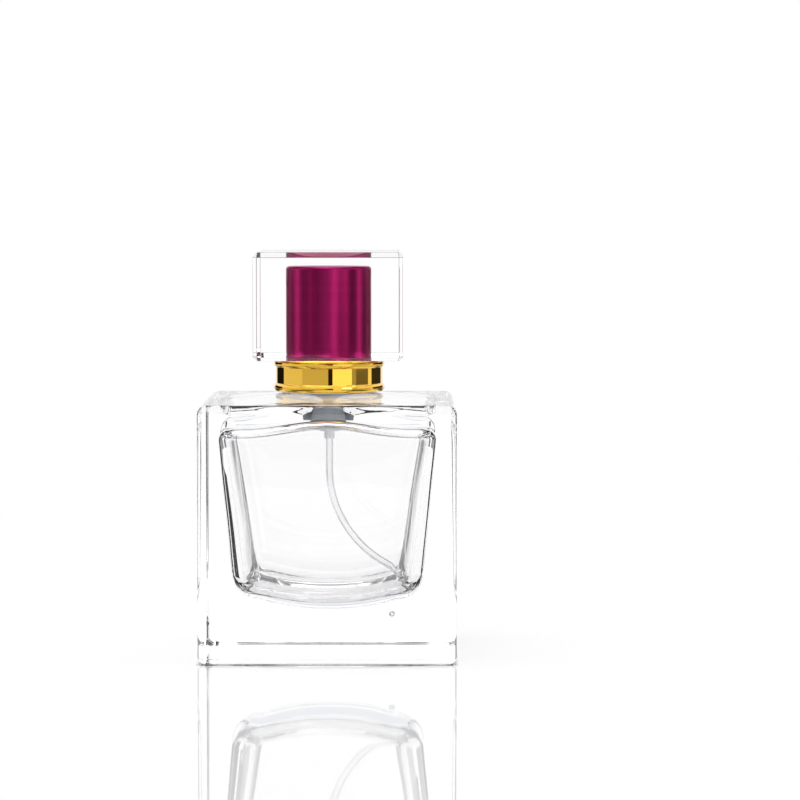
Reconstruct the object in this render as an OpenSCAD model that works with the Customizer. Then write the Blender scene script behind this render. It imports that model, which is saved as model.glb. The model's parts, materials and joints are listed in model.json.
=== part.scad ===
// Square glass aftershave bottle: a heavy clear flask, a crimped spray pump with its
// collars, and a clear block cap with a coloured sleeve inside.
// Millimetres. +Z is up, the nozzle faces -Y, and the origin is under the middle of the base.

/* [Flask] */
// Width of the glass block, side to side
body_w = 60; // [50:1:75]
// Depth of the glass block, front to back
body_d = 60; // [50:1:75]
// Height of the glass block, from the base to the flat shoulder
body_h = 60; // [48:1:80]
// Radius of the block's outer edges
body_edge_r = 2.2; // [1:0.1:3]
// Height that the shoulder rises from the block's edges to the neck
crown_h = 1.5; // [0:0.1:2]
// Thickness of the walls at the top of the cavity
wall_top = 5.3; // [3:0.1:6.5]
// Thickness of the walls at the bottom of the cavity
wall_bottom = 9; // [6:0.5:11]
// Thickness of the solid glass base
base_t = 12.6; // [8:0.1:15]
// Thickness of the shoulder over the corners of the cavity
shoulder_t = 5.7; // [5:0.1:9]
// Height that the ceiling of the cavity rises from its corners to its middle
ceiling_rise = 2; // [1:0.1:3]
// Width of the rise in the ceiling, which runs along both middle lines
vault_w = 40; // [30:1:60]
// Radius of the cavity's bottom edges
cavity_floor_r = 6; // [3:0.5:8]
// Radius of the cavity's top edges
cavity_ceiling_r = 2.6; // [1.5:0.2:4]

/* [Neck] */
// Diameter of the bead that the pump is crimped on
neck_bead_d = 15; // [14:0.5:20]
// Height of the bead
neck_bead_h = 3.2; // [2.5:0.1:4]
// Height of the whole neck above the shoulder
neck_h = 5.6; // [5:0.1:8]
// Depth of the crimping groove under the bead
neck_groove = 0.9; // [0.6:0.1:1.2]
// Bore of the neck
neck_bore = 9.4; // [7.8:0.1:10.5]

/* [Pump] */
// Travel of the pump from rest to its lower stop
stroke = 3.6; // [2.8:0.1:4.4]
// Bore of the pump's chamber
chamber_d = 5; // [4.4:0.1:6]
// Wall of the moulded housing round the chamber
housing_wall = 0.8; // [0.6:0.1:1]
// Length of the spring's room under the stem when the pump is at rest
spring_room = 7; // [6:0.5:9]
// Outer diameter of the stem above the piston
stem_d = 2.8; // [2.4:0.1:3.4]
// Bore of the stem
stem_bore = 1.1; // [0.8:0.1:1.4]
// Height of the piston
piston_h = 2.2; // [1.8:0.1:3]
// Distance that the piston lifts off the stem's head to open the way out
piston_lift = 0.5; // [0.3:0.1:0.7]
// Diameter of the ball in the inlet valve
ball_d = 1.5; // [1.2:0.1:1.8]
// Lift of the ball in its cage
ball_lift = 0.4; // [0.3:0.05:0.6]
// Length of the tail that the dip tube is pushed into
tail_h = 3.8; // [3:0.2:6]
// Thickness of the gasket on the neck
gasket_t = 0.8; // [0.6:0.1:1.2]
// Thickness of the housing's flange
flange_t = 1; // [0.8:0.1:1.4]

/* [Dip tube] */
// Outer diameter of the dip tube
tube_d = 1.7; // [1.5:0.1:2]
// Bore of the dip tube
tube_bore = 1.1; // [0.8:0.1:1.2]
// Length of the straight stretch below the pump's tail
tube_straight = 7.3; // [4:0.1:12]
// Radius of the tube's sideways bend
tube_bend_r = 25.7; // [15:0.5:40]

/* [Pump collars] */
// Sheet thickness of the crimped ferrule
ferrule_t = 0.4; // [0.3:0.05:0.5]
// Sheet thickness of the silver sleeve round the ferrule
sleeve_t = 0.35; // [0.3:0.05:0.5]
// Height of the silver sleeve
sleeve_h = 12.9; // [12:0.1:14]
// Width of the sleeve's turned-in lip
sleeve_lip = 0.9; // [0.5:0.1:1.2]
// Diameter of the wide collar at its waist
collar_waist_d = 25.5; // [24:0.5:32]
// Height of the wide collar
collar_h = 7.6; // [7:0.1:10]
// Sheet thickness of the wide collar
collar_t = 0.5; // [0.4:0.05:0.7]
// Height of the collar's lower bead
collar_low_bead = 1.9; // [1.5:0.1:2.6]
// Height of the collar's upper bead
collar_top_bead = 1.9; // [1.2:0.1:2.2]
// Distance that the beads stand out from the waist
collar_bead_out = 0.5; // [0.3:0.05:0.7]

/* [Actuator] */
// Diameter of the actuator over its metal shell
actuator_d = 12.4; // [11.5:0.1:13.5]
// Height of the actuator
actuator_h = 12.3; // [11:0.1:14]
// Sheet thickness of the actuator's shell
shell_t = 0.35; // [0.3:0.05:0.5]
// Distance from the actuator's top down to the nozzle
nozzle_drop = 4.8; // [4:0.1:5.5]
// Diameter of the nozzle insert
nozzle_d = 3; // [2.6:0.1:3.4]
// Length of the nozzle insert
nozzle_l = 2.2; // [1.8:0.1:2.6]

/* [Cap] */
// Side of the clear block, square in plan
cap_w = 35; // [30:0.5:42]
// Height of the clear block
cap_h = 25.4; // [24:0.1:32]
// Chamfer on every edge of the block
cap_chamfer = 1.2; // [0.6:0.1:2]
// Thickness of the block over its blind bore
cap_roof_t = 3.4; // [2:0.1:5]
// Wall of the coloured sleeve
cap_sleeve_t = 0.4; // [0.3:0.05:0.6]
// Wall of the plastic liner that grips the pump
liner_t = 0.9; // [0.7:0.1:1.2]
// Height of the liner's grip ribs
liner_rib_h = 5; // [3:0.5:7]
// Distance that the ribs stand in from the liner
liner_rib_in = 0.35; // [0.2:0.05:0.5]

/* [Fits] */
// Radial clearance of parts that are pressed or glued together
press_gap = 0.04; // [0.02:0.01:0.06]
// Radial clearance of parts that slide or turn in each other
slide_gap = 0.05; // [0.03:0.01:0.08]
// Clearance between faces that rest on each other
face_gap = 0.05; // [0.02:0.01:0.1]
// Clearance between the glass and the collars, and under the cap
stand_gap = 0.3; // [0.2:0.05:0.5]

/* [Hidden] */
$fn = 64;
HULL_FN = 32;
EPS = 0.02;

// Levels of the flask
ceiling_z = body_h - shoulder_t;
dome_z = ceiling_z + ceiling_rise;
shoulder_z = body_h + crown_h;
neck_top_z = shoulder_z + neck_h;
bead_z = neck_top_z - neck_bead_h;
neck_d = neck_bead_d - 2 * neck_groove;
throat_r = 1.6;
crown_r = min(body_w, body_d) / 2 - body_edge_r - 0.2;

// Levels of the pump, from the neck upwards
flange_z = neck_top_z + gasket_t + 2 * face_gap;
flange_top_z = flange_z + flange_t;
ferrule_top_z = flange_top_z + face_gap + ferrule_t;
seat_z = flange_z + 0.2;
closure_h = 2.6;
closure_z = seat_z + face_gap;
closure_top_z = closure_z + closure_h;
boss_top_z = closure_top_z - 0.1;
ferrule_boss_z = closure_top_z + face_gap + ferrule_t;

// Diameters of the pump
flange_d = neck_bead_d - 1.4;
closure_d = chamber_d + 1.9;
seat_d = closure_d + 2 * press_gap;
boss_d = seat_d + 1.4;
ferrule_boss_d = boss_d + 2 * (press_gap + ferrule_t);
ferrule_d = neck_bead_d + 2 * (slide_gap + ferrule_t);
housing_neck_d = neck_bore - 0.6;
housing_d = chamber_d + 2 * housing_wall;

// Stem and piston at rest
stop_h = 0.6;
stop_z = seat_z - stop_h;
stop_d = stem_d + 1;
outlet_spring_h = piston_lift + 0.9;
piston_z = stop_z - outlet_spring_h - 2 * face_gap - piston_h;
pin_d = stem_bore + 0.9;
head_h = 0.7;
head_z = piston_z - face_gap - head_h;
head_d = chamber_d - 1.2;
piston_d = chamber_d - 2 * slide_gap;
piston_bore = pin_d + 2 * slide_gap;

// Valve and tail of the housing
chamber_z = head_z - spring_room;
cage_roof = 0.3;
cage_d = ball_d + 0.4;
valve_hole_d = ball_d - 0.4;
ball_perch = sqrt(pow(ball_d / 2, 2) - pow(valve_hole_d / 2, 2));
cage_h = ball_perch + ball_d / 2 + ball_lift + 2 * face_gap;
cage_z = chamber_z - cage_roof - cage_h;
ball_z = cage_z + ball_perch + face_gap;
valve_wall = 0.5;
tail_z = cage_z - valve_wall;
valve_d = cage_d + 2.7;
socket_d = tube_d + 2 * press_gap;
tail_d = socket_d + 0.7;
tail_end_z = tail_z - tail_h;

// Route of the dip tube in the XZ plane: down, round one bend and into the lower corner
tube_corner_gap = 0.25;
tube_corner_r = cavity_floor_r - tube_d / 2 - tube_corner_gap;
tube_top_z = tail_z - face_gap;
tube_bend_z = tail_end_z - tube_straight;
tube_end_x = body_w / 2 - wall_bottom - cavity_floor_r + tube_corner_r * cos(45);
tube_end_z = base_t + cavity_floor_r - tube_corner_r * sin(45);
tube_fall = tube_bend_z - tube_end_z;
tube_room_r = 0.96 * (pow(tube_end_x, 2) + pow(tube_fall, 2)) / (2 * tube_end_x);
tube_r = min(tube_bend_r, tube_room_r);
tube_reach = sqrt(pow(tube_end_x - tube_r, 2) + pow(tube_fall, 2) - pow(tube_r, 2));
tube_angle = atan2(-tube_fall, tube_end_x - tube_r) + 180 - atan2(tube_reach, tube_r);

// Collars
sleeve_in_d = ferrule_d + 2 * slide_gap;
sleeve_d = sleeve_in_d + 2 * sleeve_t;
sleeve_z = shoulder_z + stand_gap + 0.1;
collar_z = shoulder_z + stand_gap;
collar_hole_d = sleeve_d + 2 * slide_gap;
collar_in_d = collar_waist_d - 2 * collar_t;
insert_h = collar_h - collar_t - 2 * face_gap;

// Actuator
actuator_z = ferrule_top_z + stroke + stand_gap;
actuator_top_z = actuator_z + actuator_h;
actuator_room = 0.5;
core_d = actuator_d - 2 * (shell_t + press_gap);
core_top_z = actuator_top_z - shell_t - 0.3;
core_bore_z = ferrule_boss_z + stroke + stand_gap;
core_bore_d = ferrule_boss_d + 1;
nozzle_z = actuator_top_z - nozzle_drop;
stem_top_z = nozzle_z - 0.9;
lip_w = min(sleeve_lip, (sleeve_in_d - actuator_d) / 2 - actuator_room);

// Cap
cap_z = collar_z + collar_h + stand_gap - 0.1;
grip_d = sleeve_d + 2 * slide_gap;
liner_in_d = grip_d + 2 * liner_rib_in;
liner_d = liner_in_d + 2 * liner_t;
cap_sleeve_d = liner_d + 2 * (press_gap + cap_sleeve_t);
cap_bore_d = cap_sleeve_d + 2 * press_gap;
cap_bore_h = cap_h - cap_roof_t;
cap_sleeve_h = cap_bore_h - face_gap;
liner_h = cap_sleeve_h - cap_sleeve_t - face_gap;

// Solid ring standing on z = 0
module ring(d_out, d_in, h) {
    difference() {
        cylinder(d = d_out, h = h);
        translate([0, 0, -EPS])
            cylinder(d = d_in, h = h + 2 * EPS);
    }
}

// Block centred on the origin with every edge and corner rounded
module rounded_block(w, d, h, r) {
    hull() {
        cube([w, d - 2 * r, h - 2 * r], center = true);
        cube([w - 2 * r, d, h - 2 * r], center = true);
        cube([w - 2 * r, d - 2 * r, h], center = true);
        for (x = [-1, 1], y = [-1, 1], z = [-1, 1])
            translate([x * (w / 2 - r), y * (d / 2 - r), z * (h / 2 - r)])
                sphere(r = r, $fn = HULL_FN);
    }
}

// Share of the ceiling's rise at a distance from the middle line: an ogee from 1 down to 0
function vault(u) = abs(u) < vault_w / 2 ? (1 + cos(360 * u / vault_w)) / 2 : 0;

// Height of the cavity's ceiling over a point
function ceiling_over(p) = ceiling_z + ceiling_rise * (1 - (1 - vault(p[0])) * (1 - vault(p[1])));

// Outline of a rectangle with round corners, as corner arcs and points along the sides
function round_outline(half_w, half_d, r) =
    let (arc_steps = 6, side_steps = 8, reach_w = half_w - r, reach_d = half_d - r)
    [
        for (k = [0:3])
            let (
                middle = [[1, 1], [-1, 1], [-1, -1], [1, -1]][k],
                after = [[-1, 1], [-1, -1], [1, -1], [1, 1]][k],
                lean = 90 * (k + 1),
                start = [middle[0] * reach_w + r * cos(lean), middle[1] * reach_d + r * sin(lean)],
                end = [after[0] * reach_w + r * cos(lean), after[1] * reach_d + r * sin(lean)]
            )
            each concat(
                [
                    for (i = [0:arc_steps])
                        let (turn = 90 * (k + i / arc_steps))
                        [middle[0] * reach_w + r * cos(turn), middle[1] * reach_d + r * sin(turn)]
                ],
                [for (i = [1:side_steps - 1]) start + (end - start) * i / side_steps]
            )
    ];

// Tapered tub that the glass is blown round: vaulted ceiling, leaning walls and flat floor
module cavity() {
    corner_r = 0.5;
    top_w = body_w / 2 - wall_top - cavity_ceiling_r;
    top_d = body_d / 2 - wall_top - cavity_ceiling_r;
    low_w = body_w / 2 - wall_bottom - cavity_floor_r;
    low_d = body_d / 2 - wall_bottom - cavity_floor_r;
    low_z = base_t + cavity_floor_r;
    run = [top_w - low_w, ceiling_z - cavity_ceiling_r - low_z];
    wall_lean = atan2(run[1], run[0]) - acos((cavity_floor_r - cavity_ceiling_r) / norm(run));
    edge = round_outline(top_w, top_d, corner_r);
    ceiling_rings = [
        for (share = [0.25, 0.5, 0.75, 1])
            [for (p = share * edge) [p[0], p[1], ceiling_over(p)]]
    ];
    edge_rings = [
        for (i = [1:5])
            let (
                turn = 90 + (wall_lean - 90) * i / 5,
                out = cavity_ceiling_r * cos(turn),
                ring = round_outline(top_w + out, top_d + out, corner_r + out),
                drop = cavity_ceiling_r * (1 - sin(turn))
            )
            [for (j = [0:len(ring) - 1]) [ring[j][0], ring[j][1], ceiling_over(edge[j]) - drop]]
    ];
    floor_rings = [
        for (i = [0:8])
            let (
                turn = wall_lean - (90 + wall_lean) * i / 8,
                out = cavity_floor_r * cos(turn),
                z = low_z + cavity_floor_r * sin(turn)
            )
            [for (p = round_outline(low_w + out, low_d + out, corner_r + out)) [p[0], p[1], z]]
    ];
    rings = concat(ceiling_rings, edge_rings, floor_rings);
    count = len(edge);
    last = (len(rings) - 1) * count;
    top_point = len(rings) * count;
    walls = [
        for (i = [0:len(rings) - 2], j = [0:count - 1])
            let (a = i * count + j, b = i * count + (j + 1) % count)
            each [[a, b, b + count], [a, b + count, a + count]]
    ];
    ends = [
        for (j = [0:count - 1])
            let (k = (j + 1) % count)
            each [[top_point, k, j], [top_point + 1, last + j, last + k]]
    ];
    polyhedron(
        points = concat([for (ring = rings) each ring], [[0, 0, dome_z], [0, 0, base_t]]),
        faces = concat(walls, ends),
        convexity = 6
    );
}

// Low round crown that lifts the shoulder to the neck in a soft ogee
module crown() {
    steps = 12;
    top_r = neck_d / 2 + 1.4;
    rotate_extrude($fn = 96)
        polygon(concat(
            [[0, body_h - 1], [crown_r, body_h - 1]],
            [
                for (i = [0:steps])
                    let (share = i / steps, ease = share * share * (3 - 2 * share))
                    [crown_r + (top_r - crown_r) * share, body_h + crown_h * ease]
            ],
            [[0, shoulder_z]]
        ));
}

// Bore of the neck, flared where it opens into the cavity
module neck_passage() {
    translate([0, 0, dome_z - EPS])
        cylinder(d = neck_bore, h = neck_top_z - dome_z + 2 * EPS);
    translate([0, 0, dome_z - 4 * EPS])
        rotate_extrude()
            difference() {
                square([neck_bore / 2 + throat_r, throat_r]);
                translate([neck_bore / 2 + throat_r, throat_r])
                    circle(r = throat_r);
            }
}

// Neck with its rounded bead and a fillet at the shoulder
module neck() {
    bead_r = 0.6;
    fillet_r = 0.8;
    translate([0, 0, body_h - 1])
        cylinder(d = neck_d, h = neck_top_z - body_h + 1 - bead_r);
    translate([0, 0, shoulder_z - EPS])
        rotate_extrude()
            difference() {
                square([neck_d / 2 + fillet_r, fillet_r]);
                translate([neck_d / 2 + fillet_r, fillet_r])
                    circle(r = fillet_r);
            }
    translate([0, 0, bead_z])
        rotate_extrude() {
            square([neck_bead_d / 2 - bead_r, neck_bead_h]);
            translate([0, bead_r])
                square([neck_bead_d / 2, neck_bead_h - 2 * bead_r]);
            for (z = [bead_r, neck_bead_h - bead_r])
                translate([neck_bead_d / 2 - bead_r, z])
                    circle(r = bead_r);
        }
}

module glass_bottle() {
    color([0.93, 0.96, 0.96, 0.35])
        difference() {
            union() {
                translate([0, 0, body_h / 2])
                    rounded_block(body_w, body_d, body_h, body_edge_r);
                crown();
                neck();
            }
            cavity();
            neck_passage();
        }
}

module neck_gasket() {
    color([0.2, 0.2, 0.2])
        translate([0, 0, neck_top_z + face_gap])
            ring(flange_d, housing_neck_d + 2 * slide_gap, gasket_t);
}

// Crimped cup: skirt turned in under the glass bead, plate over the flange and raised boss
module crimp_ferrule() {
    skirt_z = bead_z - face_gap - ferrule_t;
    skirt_in_r = ferrule_d / 2 - ferrule_t;
    crimp_in = neck_groove - 0.25;
    boss_in_r = ferrule_boss_d / 2 - ferrule_t;
    stem_hole_r = stem_d / 2 + 0.8;
    color([0.8, 0.81, 0.83])
        rotate_extrude() {
            translate([skirt_in_r, skirt_z])
                square([ferrule_t, ferrule_top_z - skirt_z]);
            translate([skirt_in_r - crimp_in, skirt_z])
                square([crimp_in + EPS, ferrule_t]);
            translate([boss_in_r, ferrule_top_z - ferrule_t])
                square([skirt_in_r - boss_in_r + EPS, ferrule_t]);
            translate([boss_in_r, ferrule_top_z - EPS])
                square([ferrule_t, ferrule_boss_z - ferrule_top_z + EPS]);
            translate([stem_hole_r, ferrule_boss_z - ferrule_t])
                square([boss_in_r - stem_hole_r + EPS, ferrule_t]);
        }
}

// Silver sleeve pushed over the ferrule, with its top edge rolled inwards
module collar_sleeve() {
    roll_r = 0.7;
    in_r = sleeve_in_d / 2;
    color([0.82, 0.83, 0.85])
        translate([0, 0, sleeve_z])
            rotate_extrude() {
                translate([in_r, 0])
                    square([sleeve_t, sleeve_h - roll_r]);
                translate([in_r - lip_w, sleeve_h - sleeve_t])
                    square([lip_w + sleeve_t - roll_r + EPS, sleeve_t]);
                translate([in_r + sleeve_t - roll_r, sleeve_h - roll_r])
                    intersection() {
                        difference() {
                            circle(r = roll_r);
                            circle(r = roll_r - sleeve_t);
                        }
                        square(roll_r);
                    }
            }
}

// Rounded bulge on a wall of the collar, flat on the inside
module collar_bead(bead_h) {
    bead_r = (pow(bead_h / 2, 2) + pow(collar_bead_out, 2)) / (2 * collar_bead_out);
    intersection() {
        translate([collar_waist_d / 2 + collar_bead_out - bead_r, bead_h / 2])
            circle(r = bead_r);
        translate([collar_in_d / 2, 0])
            square([collar_t + collar_bead_out + EPS, bead_h]);
    }
}

module gold_collar() {
    color([0.85, 0.62, 0.18])
        translate([0, 0, collar_z])
            rotate_extrude() {
                translate([collar_in_d / 2, 0])
                    square([collar_t, collar_h]);
                collar_bead(collar_low_bead);
                translate([0, collar_h - collar_top_bead])
                    collar_bead(collar_top_bead);
                translate([collar_hole_d / 2, collar_h - collar_t])
                    square([(collar_in_d - collar_hole_d) / 2 + EPS, collar_t]);
            }
}

// Ribbed plastic ring that fills the collar and holds it on the sleeve
module collar_insert() {
    ribs = 12;
    rib_w = 0.9;
    skin = 0.9;
    top_t = 1.2;
    in_d = sleeve_d + 2 * slide_gap;
    out_d = collar_in_d - 2 * press_gap;
    color([0.94, 0.94, 0.92])
        translate([0, 0, collar_z + face_gap]) {
            ring(in_d + 2 * skin, in_d, insert_h);
            ring(out_d, out_d - 2 * skin, insert_h);
            translate([0, 0, insert_h - top_t])
                ring(out_d - skin, in_d + skin, top_t);
            intersection() {
                ring(out_d - skin, in_d + skin, insert_h);
                for (i = [0:ribs - 1])
                    rotate(360 * i / ribs)
                        translate([0, -rib_w / 2, 0.6])
                            cube([out_d, rib_w, insert_h - 1]);
            }
        }
}

// Moulded pump body: flange, chamber, ball valve and the tail for the dip tube
module pump_housing() {
    neck_end_z = shoulder_z + 1.6;
    vent_d = 0.6;
    foot_z = chamber_z - housing_wall;
    color([0.93, 0.94, 0.95])
        difference() {
            union() {
                translate([0, 0, flange_z])
                    cylinder(d = flange_d, h = flange_t);
                translate([0, 0, flange_z])
                    cylinder(d = boss_d, h = boss_top_z - flange_z);
                translate([0, 0, neck_end_z])
                    cylinder(d = housing_neck_d, h = flange_z - neck_end_z + EPS);
                translate([0, 0, foot_z])
                    cylinder(d = housing_d, h = neck_end_z - foot_z + EPS);
                translate([0, 0, tail_z])
                    cylinder(d = valve_d, h = foot_z - tail_z + EPS);
                translate([0, 0, tail_end_z])
                    cylinder(d = tail_d, h = tail_h + EPS);
            }
            translate([0, 0, seat_z])
                cylinder(d = seat_d, h = boss_top_z - seat_z + EPS);
            translate([0, 0, chamber_z])
                cylinder(d = chamber_d, h = seat_z - chamber_z + EPS);
            translate([0, 0, chamber_z - cage_roof - EPS])
                cylinder(d = valve_hole_d, h = cage_roof + 2 * EPS);
            translate([0, 0, cage_z])
                cylinder(d = cage_d, h = cage_h);
            translate([0, 0, tail_z - EPS])
                cylinder(d = valve_hole_d, h = valve_wall + 2 * EPS);
            translate([0, 0, tail_end_z - EPS])
                cylinder(d = socket_d, h = tail_h + EPS);
            translate([0, 0, neck_end_z + 1])
                rotate([90, 0, 0])
                    cylinder(d = vent_d, h = neck_bore);
        }
}

// Bush that closes the chamber, guides the stem and stops it at the top
module housing_closure() {
    bevel = 0.4;
    color([0.86, 0.87, 0.88])
        translate([0, 0, closure_z])
            rotate_extrude()
                polygon([
                    [stem_d / 2 + slide_gap, 0],
                    [closure_d / 2, 0],
                    [closure_d / 2, closure_h - bevel],
                    [closure_d / 2 - bevel, closure_h],
                    [stem_d / 2 + slide_gap, closure_h]
                ]);
}

// One ring of points round the tube's route; the slant leans the ring along the route
function tube_ring(station, radius, sides) =
    let (x = station[0], z = station[1], heading = station[2], slant = station[3])
    [
        for (j = [0:sides - 1])
            let (side = radius * cos(360 * j / sides), ahead = side * tan(slant))
            [
                x + side * cos(heading) + ahead * sin(heading),
                radius * sin(360 * j / sides),
                z + side * sin(heading) - ahead * cos(heading)
            ]
    ];

// Soft tube, bent sideways by the corner of the cavity that it ends in. Its slanted end
// can't seal on the glass. Each station is x, z, heading from straight down, and slant.
module dip_tube() {
    sides = 16;
    bend_steps = 14;
    end_slant = 30;
    stations = concat(
        [[0, tube_top_z, 0, 0]],
        [
            for (i = [0:bend_steps])
                let (turn = tube_angle * i / bend_steps)
                [tube_r * (1 - cos(turn)), tube_bend_z - tube_r * sin(turn), turn, 0]
        ],
        [[tube_end_x, tube_end_z, tube_angle, -end_slant]]
    );
    last = len(stations) - 1;
    inner = sides * (last + 1);
    skin = concat(
        [for (s = stations) each tube_ring(s, tube_d / 2, sides)],
        [for (s = stations) each tube_ring(s, tube_bore / 2, sides)]
    );
    walls = [
        for (i = [0:last - 1], j = [0:sides - 1])
            let (a = i * sides + j, b = i * sides + (j + 1) % sides)
            each [
                [a, b + sides, b], [a, a + sides, b + sides],
                [inner + a, inner + b, inner + b + sides], [inner + a, inner + b + sides, inner + a + sides]
            ]
    ];
    ends = [
        for (j = [0:sides - 1])
            let (a = j, b = (j + 1) % sides, c = last * sides + j, d = last * sides + (j + 1) % sides)
            each [
                [a, b, inner + b], [a, inner + b, inner + a],
                [c, inner + d, d], [c, inner + c, inner + d]
            ]
    ];
    color([0.95, 0.95, 0.96])
        polyhedron(points = skin, faces = concat(walls, ends), convexity = 10);
}

// Height of a spring's wire after so many turns: closed end coils, open coils between them
function coil_height(turn, turns, pitch, wire) =
    let (closed = 1.05 * wire)
    turn < 1 ? turn * closed
    : turn > turns - 1 ? closed + (turns - 2) * pitch + (turn - turns + 1) * closed
    : closed + (turn - 1) * pitch;

// Wound wire spring standing on z = 0, swept as one skin round its helix
module coil_spring(coil_d, wire, height, turns) {
    steps = 18;
    sides = 8;
    rings = ceil(turns * steps);
    pitch = (height - wire - 2.1 * wire) / (turns - 2);
    skin = [
        for (i = [0:rings], j = [0:sides - 1])
            let (turn = turns * i / rings, around = 360 * j / sides)
            let (radius = (coil_d - wire) / 2 + wire / 2 * cos(around))
            [
                radius * cos(360 * turn),
                radius * sin(360 * turn),
                wire / 2 + coil_height(turn, turns, pitch, wire) + wire / 2 * sin(around)
            ]
    ];
    walls = [
        for (i = [0:rings - 1], j = [0:sides - 1])
            let (a = i * sides + j, b = i * sides + (j + 1) % sides)
            each [[a, b, b + sides], [a, b + sides, a + sides]]
    ];
    start_cap = [for (j = [sides - 1:-1:0]) j];
    end_cap = [for (j = [0:sides - 1]) rings * sides + j];
    polyhedron(points = skin, faces = concat(walls, [start_cap, end_cap]), convexity = 10);
}

module return_spring() {
    color([0.7, 0.71, 0.73])
        translate([0, 0, chamber_z + face_gap])
            coil_spring(chamber_d - 1, 0.4, spring_room - 2 * face_gap, 6);
}

module inlet_ball() {
    color([0.78, 0.79, 0.8])
        translate([0, 0, ball_z])
            sphere(d = ball_d);
}

// Hollow stem with its valve head, spring stop and the cross hole that the piston covers
module pump_stem() {
    cross_hole_d = 0.6;
    color([0.95, 0.95, 0.93])
        difference() {
            union() {
                translate([0, 0, head_z])
                    cylinder(d = head_d, h = head_h);
                translate([0, 0, head_z])
                    cylinder(d = pin_d, h = stop_z - head_z + EPS);
                translate([0, 0, stop_z])
                    cylinder(d = stop_d, h = stop_h);
                translate([0, 0, stop_z])
                    cylinder(d = stem_d, h = stem_top_z - stop_z);
            }
            translate([0, 0, piston_z + 0.5])
                cylinder(d = stem_bore, h = stem_top_z - piston_z);
            translate([0, 0, piston_z + 0.9])
                rotate([90, 0, 0])
                    cylinder(d = cross_hole_d, h = pin_d + 1, center = true);
        }
}

module outlet_spring() {
    color([0.72, 0.73, 0.75])
        translate([0, 0, piston_z + piston_h + face_gap])
            coil_spring(pin_d + 1.2, 0.25, outlet_spring_h, 3.2);
}

// Piston with a sealing lip at each end and a relieved waist
module pump_piston() {
    lip_h = 0.6;
    waist_in = 0.3;
    color([0.9, 0.92, 0.95])
        translate([0, 0, piston_z])
            rotate_extrude()
                polygon([
                    [piston_bore / 2, 0],
                    [piston_d / 2, 0],
                    [piston_d / 2, lip_h],
                    [piston_d / 2 - waist_in, lip_h + waist_in],
                    [piston_d / 2 - waist_in, piston_h - lip_h - waist_in],
                    [piston_d / 2, piston_h - lip_h],
                    [piston_d / 2, piston_h],
                    [piston_bore / 2, piston_h]
                ]);
}

// Moulded button: stem socket, riser and the side port that the nozzle is pressed into
module actuator_core() {
    socket_top_z = stem_top_z + face_gap;
    riser_d = 1.3;
    top_bevel = 0.4;
    pocket_l = nozzle_l + face_gap;
    pocket_y = actuator_d / 2 - 0.1 - pocket_l;
    color([0.95, 0.95, 0.95])
        difference() {
            union() {
                translate([0, 0, actuator_z])
                    cylinder(d = core_d, h = core_top_z - actuator_z - top_bevel);
                translate([0, 0, core_top_z - top_bevel])
                    cylinder(d1 = core_d, d2 = core_d - 2 * top_bevel, h = top_bevel);
            }
            translate([0, 0, actuator_z - EPS])
                cylinder(d = core_bore_d, h = core_bore_z - actuator_z + EPS);
            translate([0, 0, core_bore_z - EPS])
                cylinder(d = stem_d + 2 * slide_gap, h = socket_top_z - core_bore_z + EPS);
            translate([0, 0, socket_top_z - EPS])
                cylinder(d = riser_d, h = nozzle_z - socket_top_z + riser_d / 2);
            translate([0, 0, nozzle_z])
                rotate([90, 0, 0])
                    cylinder(d = riser_d, h = pocket_y + EPS);
            translate([0, -pocket_y, nozzle_z])
                rotate([90, 0, 0])
                    cylinder(d = nozzle_d + 2 * press_gap, h = core_d);
        }
}

// Metal shell over the button, with a raised rim round its flat top and a port for the spray
module actuator_shell() {
    rim_h = 0.3;
    rim_t = 0.55;
    port_d = nozzle_d + 0.5;
    in_r = actuator_d / 2 - shell_t;
    color([0.84, 0.85, 0.87])
        difference() {
            translate([0, 0, actuator_z])
                rotate_extrude() {
                    translate([in_r, 0])
                        square([shell_t, actuator_h - rim_t / 2]);
                    translate([0, actuator_h - rim_h - shell_t + face_gap])
                        square([in_r + EPS, shell_t - face_gap]);
                    translate([actuator_d / 2 - rim_t, actuator_h - rim_h - EPS])
                        square([rim_t, rim_h - rim_t / 2 + 2 * EPS]);
                    translate([actuator_d / 2 - rim_t / 2, actuator_h - rim_t / 2])
                        circle(d = rim_t);
                }
            translate([0, 0, nozzle_z])
                rotate([90, 0, 0])
                    cylinder(d = port_d, h = actuator_d);
        }
}

// Nozzle: dished face, pin-hole and swirl chamber
module nozzle_insert() {
    orifice_d = 0.4;
    dish_d = nozzle_d - 1.1;
    dish_h = 0.5;
    swirl_d = 1.3;
    swirl_h = 0.7;
    color([0.97, 0.97, 0.95])
        translate([0, -(actuator_d / 2 - 0.1), nozzle_z])
            rotate([-90, 0, 0])
                difference() {
                    cylinder(d = nozzle_d, h = nozzle_l);
                    translate([0, 0, -EPS])
                        cylinder(d1 = dish_d, d2 = orifice_d, h = dish_h + EPS);
                    cylinder(d = orifice_d, h = nozzle_l);
                    translate([0, 0, nozzle_l - swirl_h])
                        cylinder(d = swirl_d, h = swirl_h + EPS);
                }
}

// Outline of a square or rectangle with its corners cut at 45 degrees
module cut_rectangle(w, h, c) {
    polygon([
        [-w / 2 + c, -h / 2], [w / 2 - c, -h / 2], [w / 2, -h / 2 + c], [w / 2, h / 2 - c],
        [w / 2 - c, h / 2], [-w / 2 + c, h / 2], [-w / 2, h / 2 - c], [-w / 2, -h / 2 + c]
    ]);
}

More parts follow.
